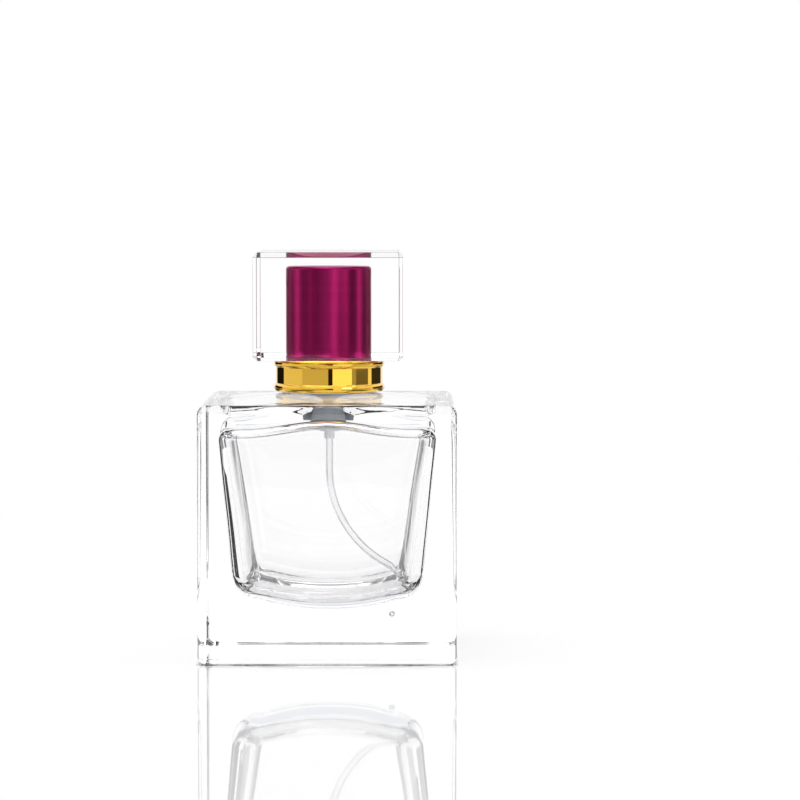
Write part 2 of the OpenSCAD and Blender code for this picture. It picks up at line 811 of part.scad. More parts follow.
// Clear block with all twelve edges chamfered and a blind bore from below
module cap_block() {
    color([0.95, 0.96, 0.97, 0.3])
        translate([0, 0, cap_z])
            difference() {
                translate([0, 0, cap_h / 2])
                    intersection() {
                        linear_extrude(height = cap_h, center = true)
                            cut_rectangle(cap_w, cap_w, cap_chamfer);
                        rotate([90, 0, 0])
                            linear_extrude(height = cap_w, center = true)
                                cut_rectangle(cap_w, cap_h, cap_chamfer);
                        rotate([90, 0, 90])
                            linear_extrude(height = cap_w, center = true)
                                cut_rectangle(cap_w, cap_h, cap_chamfer);
                    }
                translate([0, 0, -EPS])
                    cylinder(d = cap_bore_d, h = cap_bore_h + EPS);
            }
}

// Deep-drawn coloured cup in the block's bore
module cap_sleeve() {
    draw_r = 0.8;
    color([0.6, 0.08, 0.33])
        translate([0, 0, cap_z])
            difference() {
                rotate_extrude() {
                    square([cap_sleeve_d / 2, cap_sleeve_h - draw_r]);
                    square([cap_sleeve_d / 2 - draw_r, cap_sleeve_h]);
                    translate([cap_sleeve_d / 2 - draw_r, cap_sleeve_h - draw_r])
                        circle(r = draw_r);
                }
                translate([0, 0, -EPS])
                    cylinder(d = cap_sleeve_d - 2 * cap_sleeve_t, h = cap_sleeve_h - cap_sleeve_t + EPS);
            }
}

// Plastic cup with upright ribs that grip the silver sleeve
module cap_liner() {
    ribs = 8;
    rib_w = 1;
    roof_t = 1;
    lead_in = 0.3;
    bevel = cap_sleeve_t + 0.4;
    color([0.93, 0.93, 0.93])
        translate([0, 0, cap_z]) {
            difference() {
                union() {
                    cylinder(d = liner_d, h = liner_h - bevel);
                    translate([0, 0, liner_h - bevel])
                        cylinder(d1 = liner_d, d2 = liner_d - 2 * bevel, h = bevel);
                }
                translate([0, 0, -EPS])
                    cylinder(d = liner_in_d, h = liner_h - roof_t + EPS);
                translate([0, 0, -EPS])
                    cylinder(d1 = liner_in_d + 2 * lead_in, d2 = liner_in_d, h = lead_in);
            }
            intersection() {
                translate([0, 0, lead_in])
                    ring(liner_in_d + liner_t, grip_d, liner_rib_h);
                for (i = [0:ribs - 1])
                    rotate(360 * (i + 0.5) / ribs)
                        translate([0, -rib_w / 2, 0])
                            cube([liner_d, rib_w, liner_rib_h + 1]);
            }
        }
}

glass_bottle();
neck_gasket();
crimp_ferrule();
collar_sleeve();
gold_collar();
collar_insert();
pump_housing();
housing_closure();
dip_tube();
return_spring();
inlet_ball();
pump_stem();
outlet_spring();
pump_piston();
actuator_core();
actuator_shell();
nozzle_insert();
cap_block();
cap_sleeve();
cap_liner();
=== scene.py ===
"""Looks of a square glass aftershave bottle with a crimped spray pump and a clear block cap.

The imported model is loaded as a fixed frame. The flask, the dip tube, the two springs, the gold
collar, the cap's block and its coloured sleeve get smooth meshes of their own, and every other
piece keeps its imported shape. Each piece is dressed in a procedural finish and lit by a
bright-field set: white behind and around, with panels that draw the edges of the glass and the
bars in the metal.

Sizes are in millimetres in the sub-assemblies, and in metres in the finishes and the set.
"""

import json
import logging
import math
from dataclasses import dataclass, field
from enum import Enum

import bmesh
import bpy
from mathutils import Euler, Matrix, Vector, noise

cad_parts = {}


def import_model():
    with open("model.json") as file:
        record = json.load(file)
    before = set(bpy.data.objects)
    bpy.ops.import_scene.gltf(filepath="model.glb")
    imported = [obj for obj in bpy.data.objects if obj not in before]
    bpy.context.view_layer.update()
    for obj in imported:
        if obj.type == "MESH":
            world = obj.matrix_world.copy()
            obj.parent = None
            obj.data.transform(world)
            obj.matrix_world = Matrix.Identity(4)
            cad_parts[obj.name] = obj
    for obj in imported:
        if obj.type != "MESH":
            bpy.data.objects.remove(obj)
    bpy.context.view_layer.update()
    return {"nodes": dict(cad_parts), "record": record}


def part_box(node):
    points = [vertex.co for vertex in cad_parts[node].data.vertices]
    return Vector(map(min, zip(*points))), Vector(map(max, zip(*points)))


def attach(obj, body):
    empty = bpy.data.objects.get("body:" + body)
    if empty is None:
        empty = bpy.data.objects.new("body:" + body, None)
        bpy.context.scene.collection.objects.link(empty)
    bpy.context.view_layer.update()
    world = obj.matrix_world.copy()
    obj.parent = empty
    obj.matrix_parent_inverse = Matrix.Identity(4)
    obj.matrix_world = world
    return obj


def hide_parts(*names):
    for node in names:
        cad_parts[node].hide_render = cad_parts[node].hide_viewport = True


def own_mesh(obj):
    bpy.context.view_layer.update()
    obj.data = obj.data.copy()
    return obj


MM = 0.001
LOG = logging.getLogger("bottle")

Point = tuple[float, float, float]
ProfilePoint = tuple[float, float]
Station = tuple[float, float, float, float]
Colour = tuple[float, float, float]
Ring = list[Point]
Shape = bmesh.types.BMesh
Rows = list[list[bmesh.types.BMVert]]
Piece = bpy.types.Object
Material = bpy.types.Material
Tree = bpy.types.NodeTree
Node = bpy.types.Node
Socket = bpy.types.NodeSocket


class Body(Enum):
    """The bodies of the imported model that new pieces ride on."""

    BOTTLE = "bottle"
    STEM = "stem"
    CAP = "cap"


class Slot(Enum):
    """The record's material slots that new pieces stand for."""

    GLASS = "clear_glass"
    ACRYLIC = "clear_acrylic"
    MAGENTA = "magenta_aluminium"
    GOLD = "gold_aluminium"
    TUBE = "tube_plastic"
    STEEL = "spring_steel"


# ---------------------------------------------------------------------------------------------
# Mesh building
# ---------------------------------------------------------------------------------------------

# Points closer than MERGE become one, and edges shorter than LEAST_EDGE go, in millimetres.
MERGE = 1e-5
LEAST_EDGE = 1e-6
# The most of a side that may lie between a corner and its support point.
MOST_INSET = 0.2


@dataclass(frozen=True)
class RingPlan:
    """How the points of every ring of a lofted block are shared out.

    Args:
        arc_steps: Number of steps round each corner.
        side_steps: Number of even steps along each side between its two support points.
        support: Distance of a support point from the end of its corner, in millimetres.
    """

    arc_steps: int = 8
    side_steps: int = 8
    support: float = 0.06

    @property
    def count(self) -> int:
        """Number of points in one ring."""
        return 4 * (self.arc_steps + self.side_steps + 2)

    def _corners(self, half_w: float, half_d: float, arc: list[ProfilePoint]) -> list[ProfilePoint]:
        """Lays one corner's points and the side after it, four times round.

        Args:
            half_w: Half of the ring's width.
            half_d: Half of the ring's depth.
            arc: The corner's points as offsets inward from the sharp corner, from its first side.

        Returns:
            The ring's points in the plane.
        """
        corners = []
        for number, (sx, sy) in enumerate(((1, 1), (-1, 1), (-1, -1), (1, -1))):
            steps = arc if number % 2 == 0 else arc[::-1]
            corners.append([(sx * (half_w - dx), sy * (half_d - dy)) for dx, dy in steps])
        points = []
        for corner, following in zip(corners, corners[1:] + corners[:1]):
            end, start = Vector(corner[-1]), Vector(following[0])
            inset = min(self.support / max((start - end).length, LEAST_EDGE), MOST_INSET)
            points += corner
            for step in range(self.side_steps + 1):
                share = inset + (1 - 2 * inset) * step / self.side_steps
                points.append(tuple(end.lerp(start, share)))
        return points

    def rounded(self, half_w: float, half_d: float, radius: float, z: float) -> Ring:
        """Lays a ring of a rectangle with round corners.

        Args:
            half_w: Half of the width.
            half_d: Half of the depth.
            radius: Radius of the corners.
            z: Height of the ring.

        Returns:
            The ring's points.
        """
        arc = []
        for step in range(self.arc_steps + 1):
            angle = math.pi / 2 * step / self.arc_steps
            arc.append((radius * (1 - math.cos(angle)), radius * (1 - math.sin(angle))))
        return [(x, y, z) for x, y in self._corners(half_w, half_d, arc)]

    def chamfered(self, half: float, cut: ProfilePoint, z: float) -> Ring:
        """Lays a ring of a square with its corners cut straight.

        Args:
            half: Half of the side.
            cut: Lengths that the cut takes off across and along the depth.
            z: Height of the ring.

        Returns:
            The ring's points.
        """
        shares = [step / self.arc_steps for step in range(self.arc_steps + 1)]
        arc = [(cut[0] * share, cut[1] * (1 - share)) for share in shares]
        return [(x, y, z) for x, y in self._corners(half, half, arc)]

    def circle(self, radius: float, z: float) -> Ring:
        """Lays a round ring whose points face those of the other rings.

        Args:
            radius: Radius of the ring.
            z: Height of the ring.

        Returns:
            The ring's points.
        """
        points = []
        for index in range(self.count):
            turn = (index - self.arc_steps / 2) / self.count
            angle = math.pi / 4 + 2 * math.pi * turn
            points.append((radius * math.cos(angle), radius * math.sin(angle), z))
        return points


def blend_rings(first: Ring, second: Ring, share: float) -> Ring:
    """Lays a ring that lies between two others, from the first at share 0 to the second at 1."""
    return [tuple(Vector(a).lerp(Vector(b), share)) for a, b in zip(first, second)]


def arc_points(
    centre: ProfilePoint, radius: float, start: float, end: float, steps: int
) -> list[ProfilePoint]:
    """Lays points along an arc in a profile plane.

    Args:
        centre: Centre of the arc, out and up.
        radius: Radius of the arc.
        start: First angle in degrees, from straight out.
        end: Last angle in degrees.
        steps: Number of steps.

    Returns:
        The arc's points, both ends among them.
    """
    points = []
    for step in range(steps + 1):
        angle = math.radians(start + (end - start) * step / steps)
        points.append((centre[0] + radius * math.cos(angle), centre[1] + radius * math.sin(angle)))
    return points


def ease(share: float) -> float:
    """Smooth step of a share, which is first held between 0 and 1."""
    held = min(1.0, max(0.0, share))
    return held * held * (3 - 2 * held)


def skin(shape: Shape, rings: list[Ring], closed: bool = False, turned: bool = False) -> Rows:
    """Joins each ring of points to the next with faces.

    Args:
        shape: The mesh that takes the skin.
        rings: The rings, each with as many points.
        closed: Whether the last ring is joined to the first.
        turned: Whether the faces look the other way.

    Returns:
        The corners made, ring by ring.
    """
    rows = [[shape.verts.new(point) for point in ring] for ring in rings]
    for low, high in zip(rows, rows[1:] + rows[:1] if closed else rows[1:]):
        for index in range(len(low)):
            after = (index + 1) % len(low)
            face = (low[index], low[after], high[after], high[index])
            shape.faces.new((face[0], *face[:0:-1]) if turned else face)
    return rows


def loft(shape: Shape, rings: list[Ring]) -> None:
    """Skins a row of rings and closes both ends with a fan to the middle.

    Args:
        shape: The mesh that takes the skin.
        rings: The rings, each with as many points, counterclockwise from above.
    """
    rows = skin(shape, rings)
    for row, turned in ((rows[0], True), (rows[-1], False)):
        middle = shape.verts.new(sum((corner.co for corner in row), Vector()) / len(row))
        for pair in zip(row, row[1:] + row[:1]):
            first, second = pair[::-1] if turned else pair
            shape.faces.new((first, second, middle))


def link_object(name: str, data: bpy.types.ID) -> Piece:
    """Makes an object and links it to the scene.

    Args:
        name: Name of the object.
        data: Its mesh, lamp or camera.

    Returns:
        The new object.
    """
    item = bpy.data.objects.new(name, data)
    bpy.context.scene.collection.objects.link(item)
    return item


def make_object(name: str, shape: Shape) -> Piece:
    """Turns a bmesh into an object.

    Args:
        name: Name of the object.
        shape: The bmesh, which is freed.

    Returns:
        The new object.
    """
    mesh = bpy.data.meshes.new(name)
    shape.to_mesh(mesh)
    shape.free()
    return link_object(name, mesh)


def smooth(piece: Piece, sharp_angle: float) -> None:
    """Shades a piece smooth, but keeps edges that turn by more than the angle, in degrees, sharp."""
    piece.data.shade_smooth()
    piece.data.set_sharp_from_angle(angle=math.radians(sharp_angle))


def finish_mesh(name: str, shape: Shape, sharp_angle: float) -> Piece:
    """Turns a bmesh in millimetres into a smooth-shaded object in metres.

    Args:
        name: Name of the piece.
        shape: The bmesh, which is freed.
        sharp_angle: Edges that turn by more than this, in degrees, stay sharp.

    Returns:
        The new object.
    """
    bmesh.ops.remove_doubles(shape, verts=shape.verts, dist=MERGE)
    bmesh.ops.dissolve_degenerate(shape, dist=LEAST_EDGE, edges=shape.edges)
    bmesh.ops.scale(shape, vec=(MM, MM, MM), verts=shape.verts)
    piece = make_object(name, shape)
    smooth(piece, sharp_angle)
    return piece


def lathe(name: str, profile: list[ProfilePoint], steps: int, sharp_angle: float) -> Piece:
    """Turns a closed profile round the Z axis.

    Args:
        name: Name of the piece.
        profile: Points out and up, counterclockwise seen with out to the right.
        steps: Number of steps in the turn.
        sharp_angle: Edges that turn by more than this, in degrees, stay sharp.

    Returns:
        The turned piece.
    """
    shape = bmesh.new()
    angles = [2 * math.pi * step / steps for step in range(steps)]
    rings = [[(r * math.cos(angle), r * math.sin(angle), z) for r, z in profile] for angle in angles]
    skin(shape, rings, closed=True, turned=True)
    return finish_mesh(name, shape, sharp_angle)


# ---------------------------------------------------------------------------------------------
# Shader nodes and shared effects
# ---------------------------------------------------------------------------------------------

WHITE = (1.0, 1.0, 1.0, 1.0)


def feed(tree: Tree, node: Node, *ordered: object, **named: object) -> None:
    """Gives a node's inputs their values or links.

    Args:
        tree: The tree that holds the node.
        node: The node whose inputs are set.
        ordered: Values or output sockets for its first inputs.
        named: The same for inputs by name, with underscores for spaces.
    """
    spaced = {name.replace("_", " "): source for name, source in named.items()}
    for key, source in (*enumerate(ordered), *spaced.items()):
        if isinstance(source, Socket):
            tree.links.new(source, node.inputs[key])
        else:
            node.inputs[key].default_value = source


def add_node(tree: Tree, kind: str, *ordered: object, **named: object) -> Node:
    """Adds a node with its properties and inputs.

    Args:
        tree: The tree that takes the node.
        kind: The node's type.
        ordered: Values or output sockets for its first inputs.
        named: Inputs by name, which starts with a capital, and properties in small letters.

    Returns:
        The new node.
    """
    node = tree.nodes.new(kind)
    inputs = {}
    for name, value in named.items():
        if name[0].isupper():
            inputs[name] = value
        else:
            setattr(node, name, value)
    feed(tree, node, *ordered, **inputs)
    return node


def compute(tree: Tree, operation: str, *inputs: object) -> Socket:
    """Adds a math node with its inputs and gives its result."""
    return add_node(tree, "ShaderNodeMath", *inputs, operation=operation).outputs[0]


@dataclass(frozen=True)
class Effect:
    """A shader node group that several finishes place with their own values.

    Args:
        name: Name of the group.
        inputs: Names and starting values of its inputs.
        outputs: Names of its outputs.
    """

    name: str
    inputs: tuple[tuple[str, float], ...]
    outputs: tuple[str, ...]

    def open(self) -> tuple[Tree, bpy.types.NodeOutputs, Node, Socket]:
        """Makes the group with its sockets and the place on the piece.

        Returns:
            The group's tree, the values that it is given, its output node and the place.
        """
        tree = bpy.data.node_groups.new(self.name, "ShaderNodeTree")
        for name, value in self.inputs:
            socket = tree.interface.new_socket(name, in_out="INPUT", socket_type="NodeSocketFloat")
            socket.default_value = value
        for name in self.outputs:
            tree.interface.new_socket(name, in_out="OUTPUT", socket_type="NodeSocketFloat")
        given, made = tree.nodes.new("NodeGroupInput"), tree.nodes.new("NodeGroupOutput")
        return tree, given.outputs, made, add_node(tree, "ShaderNodeTexCoord").outputs["Object"]


def cast_ripple() -> Tree:
    """Makes the effect of slow ripples and fine cords in a clear moulding.

    Returns:
        The group, with Scale, Ripple, Cord and Polish in, and Height and Roughness out.
    """
    inputs = (("Scale", 60.0), ("Ripple", 0.5), ("Cord", 0.3), ("Polish", 0.0))
    tree, given, made, place = Effect("cast_ripple", inputs, ("Height", "Roughness")).open()
    slow = add_node(tree, "ShaderNodeTexNoise", Vector=place, Scale=given["Scale"], Detail=1.5)
    drawn = add_node(
        tree, "ShaderNodeMapping", Vector=place, Scale=(1.0, 1.0, 6.0), Rotation=(0.1, 0.0, 0.3)
    ).outputs[0]
    cord = add_node(
        tree, "ShaderNodeTexNoise", Vector=drawn, Scale=given["Scale"], Detail=3.0, Distortion=1.2
    ).outputs[0]
    ripple = compute(tree, "MULTIPLY", slow.outputs[0], given["Ripple"])
    height = compute(tree, "MULTIPLY_ADD", cord, given["Cord"], ripple)
    feed(tree, made, Height=height, Roughness=compute(tree, "MULTIPLY", cord, given["Polish"]))
    return tree


def handled_surface() -> Tree:
    """Makes the effect of faint smears and small marks on a handled surface.

    Returns:
        The group, with Scale, Roughness, Smear and Marks in, and Roughness, Height and Mask out.
    """
    inputs = (("Scale", 150.0), ("Roughness", 0.3), ("Smear", 0.05), ("Marks", 0.05))
    tree, given, made, place = Effect("handled_surface", inputs, ("Roughness", "Height", "Mask")).open()
    cloud = add_node(tree, "ShaderNodeTexNoise", Vector=place, Scale=given["Scale"], Detail=4.0).outputs[0]
    hair = add_node(
        tree, "ShaderNodeTexNoise", Vector=place, Scale=given["Scale"], Detail=8.0, Distortion=2.0
    ).outputs[0]
    line = add_node(tree, "ShaderNodeMapRange", hair, 0.62, 0.7, 0.0, 1.0).outputs[0]
    mask = compute(tree, "MULTIPLY", line, cloud)
    smear = compute(tree, "MULTIPLY_ADD", cloud, given["Smear"], given["Roughness"])
    marked = compute(tree, "MULTIPLY_ADD", mask, given["Marks"], smear)
    feed(tree, made, Roughness=marked, Height=mask, Mask=cloud)
    return tree


def turned_lines() -> Tree:
    """Makes the effect of the fine rings that turning or drawing leaves round a metal part.

    Returns:
        The group, with Pitch and Unevenness in, and Height and Mask out.
    """
    inputs = (("Pitch", 9000.0), ("Unevenness", 400.0))
    tree, given, made, place = Effect("turned_lines", inputs, ("Height", "Mask")).open()
    z = add_node(tree, "ShaderNodeSeparateXYZ", place).outputs["Z"]
    rows = {"noise_dimensions": "1D", "W": z}
    fine = add_node(tree, "ShaderNodeTexNoise", **rows, Scale=given["Pitch"], Detail=2.0)
    broad = add_node(tree, "ShaderNodeTexNoise", **rows, Scale=given["Unevenness"], Detail=3.0)
    feed(tree, made, Height=fine.outputs[0], Mask=broad.outputs[0])
    return tree


@dataclass
class Effects:
    """The shared effects, each built once.

    Args:
        ripple: Ripples and cords of a clear moulding.
        handled: Smears and marks of a handled surface.
        turned: Rings of a turned or drawn metal part.
    """

    ripple: Tree = field(default_factory=cast_ripple)
    handled: Tree = field(default_factory=handled_surface)
    turned: Tree = field(default_factory=turned_lines)


# ---------------------------------------------------------------------------------------------
# Finishes
# ---------------------------------------------------------------------------------------------


def open_tree(owner: Material | bpy.types.World, output_kind: str) -> tuple[Tree, Node]:
    """Gives a material or a world an empty tree with an output.

    Args:
        owner: The material or world.
        output_kind: Type of the output node.

    Returns:
        The tree and the output.
    """
    owner.use_nodes = True
    owner.node_tree.nodes.clear()
    return owner.node_tree, add_node(owner.node_tree, output_kind)


def open_material(name: str) -> tuple[Material, Node, Node]:
    """Makes a material that holds a Principled shader and an output.

    Args:
        name: Name of the material.

    Returns:
        The material, the shader and the output.
    """
    material = bpy.data.materials.new(name)
    tree, output = open_tree(material, "ShaderNodeOutputMaterial")
    shader = add_node(tree, "ShaderNodeBsdfPrincipled")
    feed(tree, output, Surface=shader.outputs[0])
    return material, shader, output


def vary_colour(tree: Tree, mask: Socket, low: Colour | Socket, high: Colour | Socket) -> Socket:
    """Mixes two colours by a mask.

    Args:
        tree: The material's tree.
        mask: The mask from 0 to 1.
        low: Colour at 0.
        high: Colour at 1.

    Returns:
        The mixed colour.
    """
    mix = add_node(tree, "ShaderNodeMix", mask, data_type="RGBA")
    for place, colour in ((6, low), (7, high)):
        if isinstance(colour, Socket):
            tree.links.new(colour, mix.inputs[place])
        else:
            mix.inputs[place].default_value = (*colour, 1.0)
    return mix.outputs[2]


def lay_surface(shader: Node, colour: Socket, roughness: Socket, height: Socket, relief: float) -> None:
    """Feeds a shader's colour, roughness and normal.

    Args:
        shader: The shader.
        colour: Its colour.
        roughness: Its roughness.
        height: The height of its relief, from 0 to 1.
        relief: Depth of the relief in metres.
    """
    tree = shader.id_data
    bump = add_node(tree, "ShaderNodeBump", Strength=1.0, Distance=relief, Height=height)
    feed(tree, shader, Base_Color=colour, Roughness=roughness, Normal=bump.outputs["Normal"])


def blend_shaders(output: Node, share: Socket, first: Node, second: Node) -> None:
    """Feeds an output with two shaders.

    Args:
        output: The output of a material or world.
        share: Share of the second shader.
        first: The shader at share 0.
        second: The shader at share 1.
    """
    tree = output.id_data
    mix = add_node(tree, "ShaderNodeMixShader", share, first.outputs[0], second.outputs[0])
    feed(tree, output, Surface=mix.outputs[0])


def let_lamps_through(shader: Node, output: Node, shade: float) -> None:
    """Makes a clear material cast only a light shadow.

    Args:
        shader: The clear shader.
        output: The material's output.
        shade: Share of the lamps' light that gets through.
    """
    tree = shader.id_data
    path = add_node(tree, "ShaderNodeLightPath")
    clear = add_node(tree, "ShaderNodeBsdfTransparent", (shade, shade, shade, 1.0))
    blend_shaders(output, path.outputs["Is Shadow Ray"], shader, clear)


@dataclass(frozen=True)
class ClearSolid:
    """Solid glass or acrylic.

    Args:
        name: Name of the material.
        ior: Index of refraction.
        tint: Colour of the clear body.
        ripple: Height of the slow ripples in metres.
        scale: Scale of the ripples.
        cord: Share of fine cords in the ripples.
        haze: Roughness added by the cords.
        shade: Share of the lamps' light that gets through.
        dim: Share of the tint that the ripples' crests keep.
    """

    name: str
    ior: float
    tint: Colour
    ripple: float
    scale: float
    cord: float
    haze: float
    shade: float
    dim: float = 0.996

    def make(self, effects: Effects) -> Material:
        """Builds the material.

        Args:
            effects: The shared effects.

        Returns:
            The material.
        """
        material, shader, output = open_material(self.name)
        tree = material.node_tree
        values = {"Scale": self.scale, "Ripple": 1.0, "Cord": self.cord, "Polish": self.haze}
        cast = add_node(tree, "ShaderNodeGroup", node_tree=effects.ripple, **values).outputs
        feed(tree, shader, IOR=self.ior, Transmission_Weight=1.0, Metallic=0.0)
        crest = tuple(self.dim * part for part in self.tint)
        colour = vary_colour(tree, cast["Height"], self.tint, crest)
        lay_surface(shader, colour, cast["Roughness"], cast["Height"], self.ripple)
        let_lamps_through(shader, output, self.shade)
        return material


@dataclass(frozen=True)
class Metal:
    """Plated, anodised or bare metal.

    Args:
        name: Name of the material.
        low: Colour where the surface is darker.
        high: Colour where it is brighter.
        roughness: Roughness of the finish.
        smear: Roughness that smears and marks add.
        line_height: Height of the turning rings in metres, or 0.
        coat: Weight of a clear lacquer.
        coat_roughness: Roughness of the lacquer.
        smear_scale: Scale of the smears.
        pitch: Scale of the turning rings.
        unevenness: Scale of the bands in which the colour varies.
    """

    name: str
    low: Colour
    high: Colour
    roughness: float
    smear: float
    line_height: float
    coat: float = 0.0
    coat_roughness: float = 0.06
    smear_scale: float = 220.0
    pitch: float = 9000.0
    unevenness: float = 420.0

    def make(self, effects: Effects) -> Material:
        """Builds the material.

        Args:
            effects: The shared effects.

        Returns:
            The material.
        """
        material, shader, _ = open_material(self.name)
        tree = material.node_tree
        values = {"Roughness": self.roughness, "Smear": self.smear, "Marks": self.smear}
        handled = add_node(
            tree, "ShaderNodeGroup", node_tree=effects.handled, Scale=self.smear_scale, **values
        ).outputs
        rings = {"Pitch": self.pitch, "Unevenness": self.unevenness}
        lines = add_node(tree, "ShaderNodeGroup", node_tree=effects.turned, **rings).outputs
        feed(tree, shader, Metallic=1.0, Coat_Weight=self.coat, Coat_Roughness=self.coat_roughness)
        colour = vary_colour(tree, lines["Mask"], self.low, self.high)
        lay_surface(shader, colour, handled["Roughness"], lines["Height"], self.line_height)
        return material


@dataclass(frozen=True)
class Moulding:
    """Moulded plastic or rubber.

    Args:
        name: Name of the material.
        low: Colour in the hollows of the mottle.
        high: Colour on its crests.
        roughness: Roughness of the surface.
        grain: Height of the mould's grain in metres.
        transmission: Share of light that passes through.
        subsurface: Weight of the light that scatters inside.
        ior: Index of refraction.
        scatter: Distance that light scatters inside, in metres.
        mottle: Scale of the mottle and the grain.
        smear: Roughness that smears add.
        marks: Roughness that small marks add.
        shade: Share of the lamps' light that gets through where the moulding is clear.
    """

    name: str
    low: Colour
    high: Colour
    roughness: float
    grain: float
    transmission: float = 0.0
    subsurface: float = 0.0
    ior: float = 1.5
    scatter: float = 0.002
    mottle: float = 420.0
    smear: float = 0.08
    marks: float = 0.05
    shade: float = 0.9

    def make(self, effects: Effects) -> Material:
        """Builds the material.

        Args:
            effects: The shared effects.

        Returns:
            The material.
        """
        material, shader, output = open_material(self.name)
        tree = material.node_tree
        values = {"Roughness": self.roughness, "Smear": self.smear, "Marks": self.marks}
        handled = add_node(
            tree, "ShaderNodeGroup", node_tree=effects.handled, Scale=self.mottle, **values
        ).outputs
        feed(tree, shader, IOR=self.ior, Transmission_Weight=self.transmission)
        feed(tree, shader, Subsurface_Weight=self.subsurface, Subsurface_Scale=1.0)
        feed(tree, shader, Subsurface_Radius=(self.scatter, self.scatter, self.scatter))
        colour = vary_colour(tree, handled["Mask"], self.low, self.high)
        lay_surface(shader, colour, handled["Roughness"], handled["Mask"], self.grain)
        if self.transmission > 0:
            let_lamps_through(shader, output, self.shade)
        return material


CLEAR_GLASS = ClearSolid("clear_glass", 1.517, (1.0, 0.996, 0.999), 1.2e-6, 55.0, 0.6, 0.004, 0.93)
CLEAR_ACRYLIC = ClearSolid("clear_acrylic", 1.491, (1.0, 1.0, 1.0), 0.3e-6, 40.0, 0.3, 0.006, 0.96)
# Hazy acrylic for the cap's polished chamfer edges; its dark grey tint is painted shade that draws the dark
# lines the clear edges show by refraction.
GROUND_AND_SHADED_EDGE = ClearSolid("ground_acrylic_edge_with_painted_shade", 1.491, (0.27, 0.27, 0.30), 0.6e-6, 900.0, 0.6, 0.3, 0.96)
MAGENTA = Metal("magenta_anodised", (0.48, 0.015, 0.14), (0.55, 0.021, 0.175), 0.29, 0.01, 0.6e-6)
GOLD = Metal("polished_gold", (0.96, 0.56, 0.05), (1.0, 0.61, 0.06), 0.02, 0.015, 0.0, coat=0.6)
SILVER = Metal("brushed_silver", (0.80, 0.80, 0.81), (0.88, 0.88, 0.89), 0.16, 0.06, 1.2e-6)
STEEL = Metal("spring_steel", (0.50, 0.50, 0.51), (0.62, 0.62, 0.63), 0.22, 0.10, 1.0e-6)
BALL_STEEL = Metal("ball_steel", (0.62, 0.62, 0.63), (0.70, 0.70, 0.71), 0.10, 0.03, 0.3e-6)
# Opaque grey-blue on the flask's neck faces: a painted reflection of the pump's metal that the clear neck
# shows.
PAINTED_NECK_REFLECTION = Moulding("neck_painted_reflection", (0.84, 0.88, 0.93), (0.90, 0.94, 0.99), 0.50, 2e-6)
WHITE_PLASTIC = Moulding("white_plastic", (0.82, 0.82, 0.81), (0.88, 0.88, 0.87), 0.32, 4e-6, 0.0, 0.15)
NATURAL_PLASTIC = Moulding("natural_plastic", (0.86, 0.87, 0.88), (0.93, 0.94, 0.95), 0.30, 3e-6, 0.0, 0.3)
TUBE_PLASTIC = Moulding("tube_plastic", (0.97, 0.97, 0.98), (1.0, 1.0, 1.0), 0.06, 1e-6, 1.0, 0.0, 1.48)
DARK_RUBBER = Moulding("dark_rubber", (0.20, 0.22, 0.25), (0.27, 0.30, 0.33), 0.60, 6e-6)


def dress(piece: Piece, *materials: Material) -> None:
    """Gives a piece its materials, which its faces take by their index.

    Args:
        piece: The piece.
        materials: Its materials, the main one first.
    """
    if piece.data.materials:
        piece.data.materials.clear()
    for material in materials:
        piece.data.materials.append(material)


def seat(piece: Piece, body: Body, slot: Slot, *nodes: str) -> None:
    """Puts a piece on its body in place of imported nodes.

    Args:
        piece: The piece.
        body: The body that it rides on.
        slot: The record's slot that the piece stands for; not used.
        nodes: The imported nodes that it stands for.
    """
    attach(piece, body.value)
    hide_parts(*nodes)
    LOG.info("%s rides on %s for %s, %d faces", piece.name, body.value, nodes, len(piece.data.polygons))


# ---------------------------------------------------------------------------------------------
# Sub-assemblies
# ---------------------------------------------------------------------------------------------


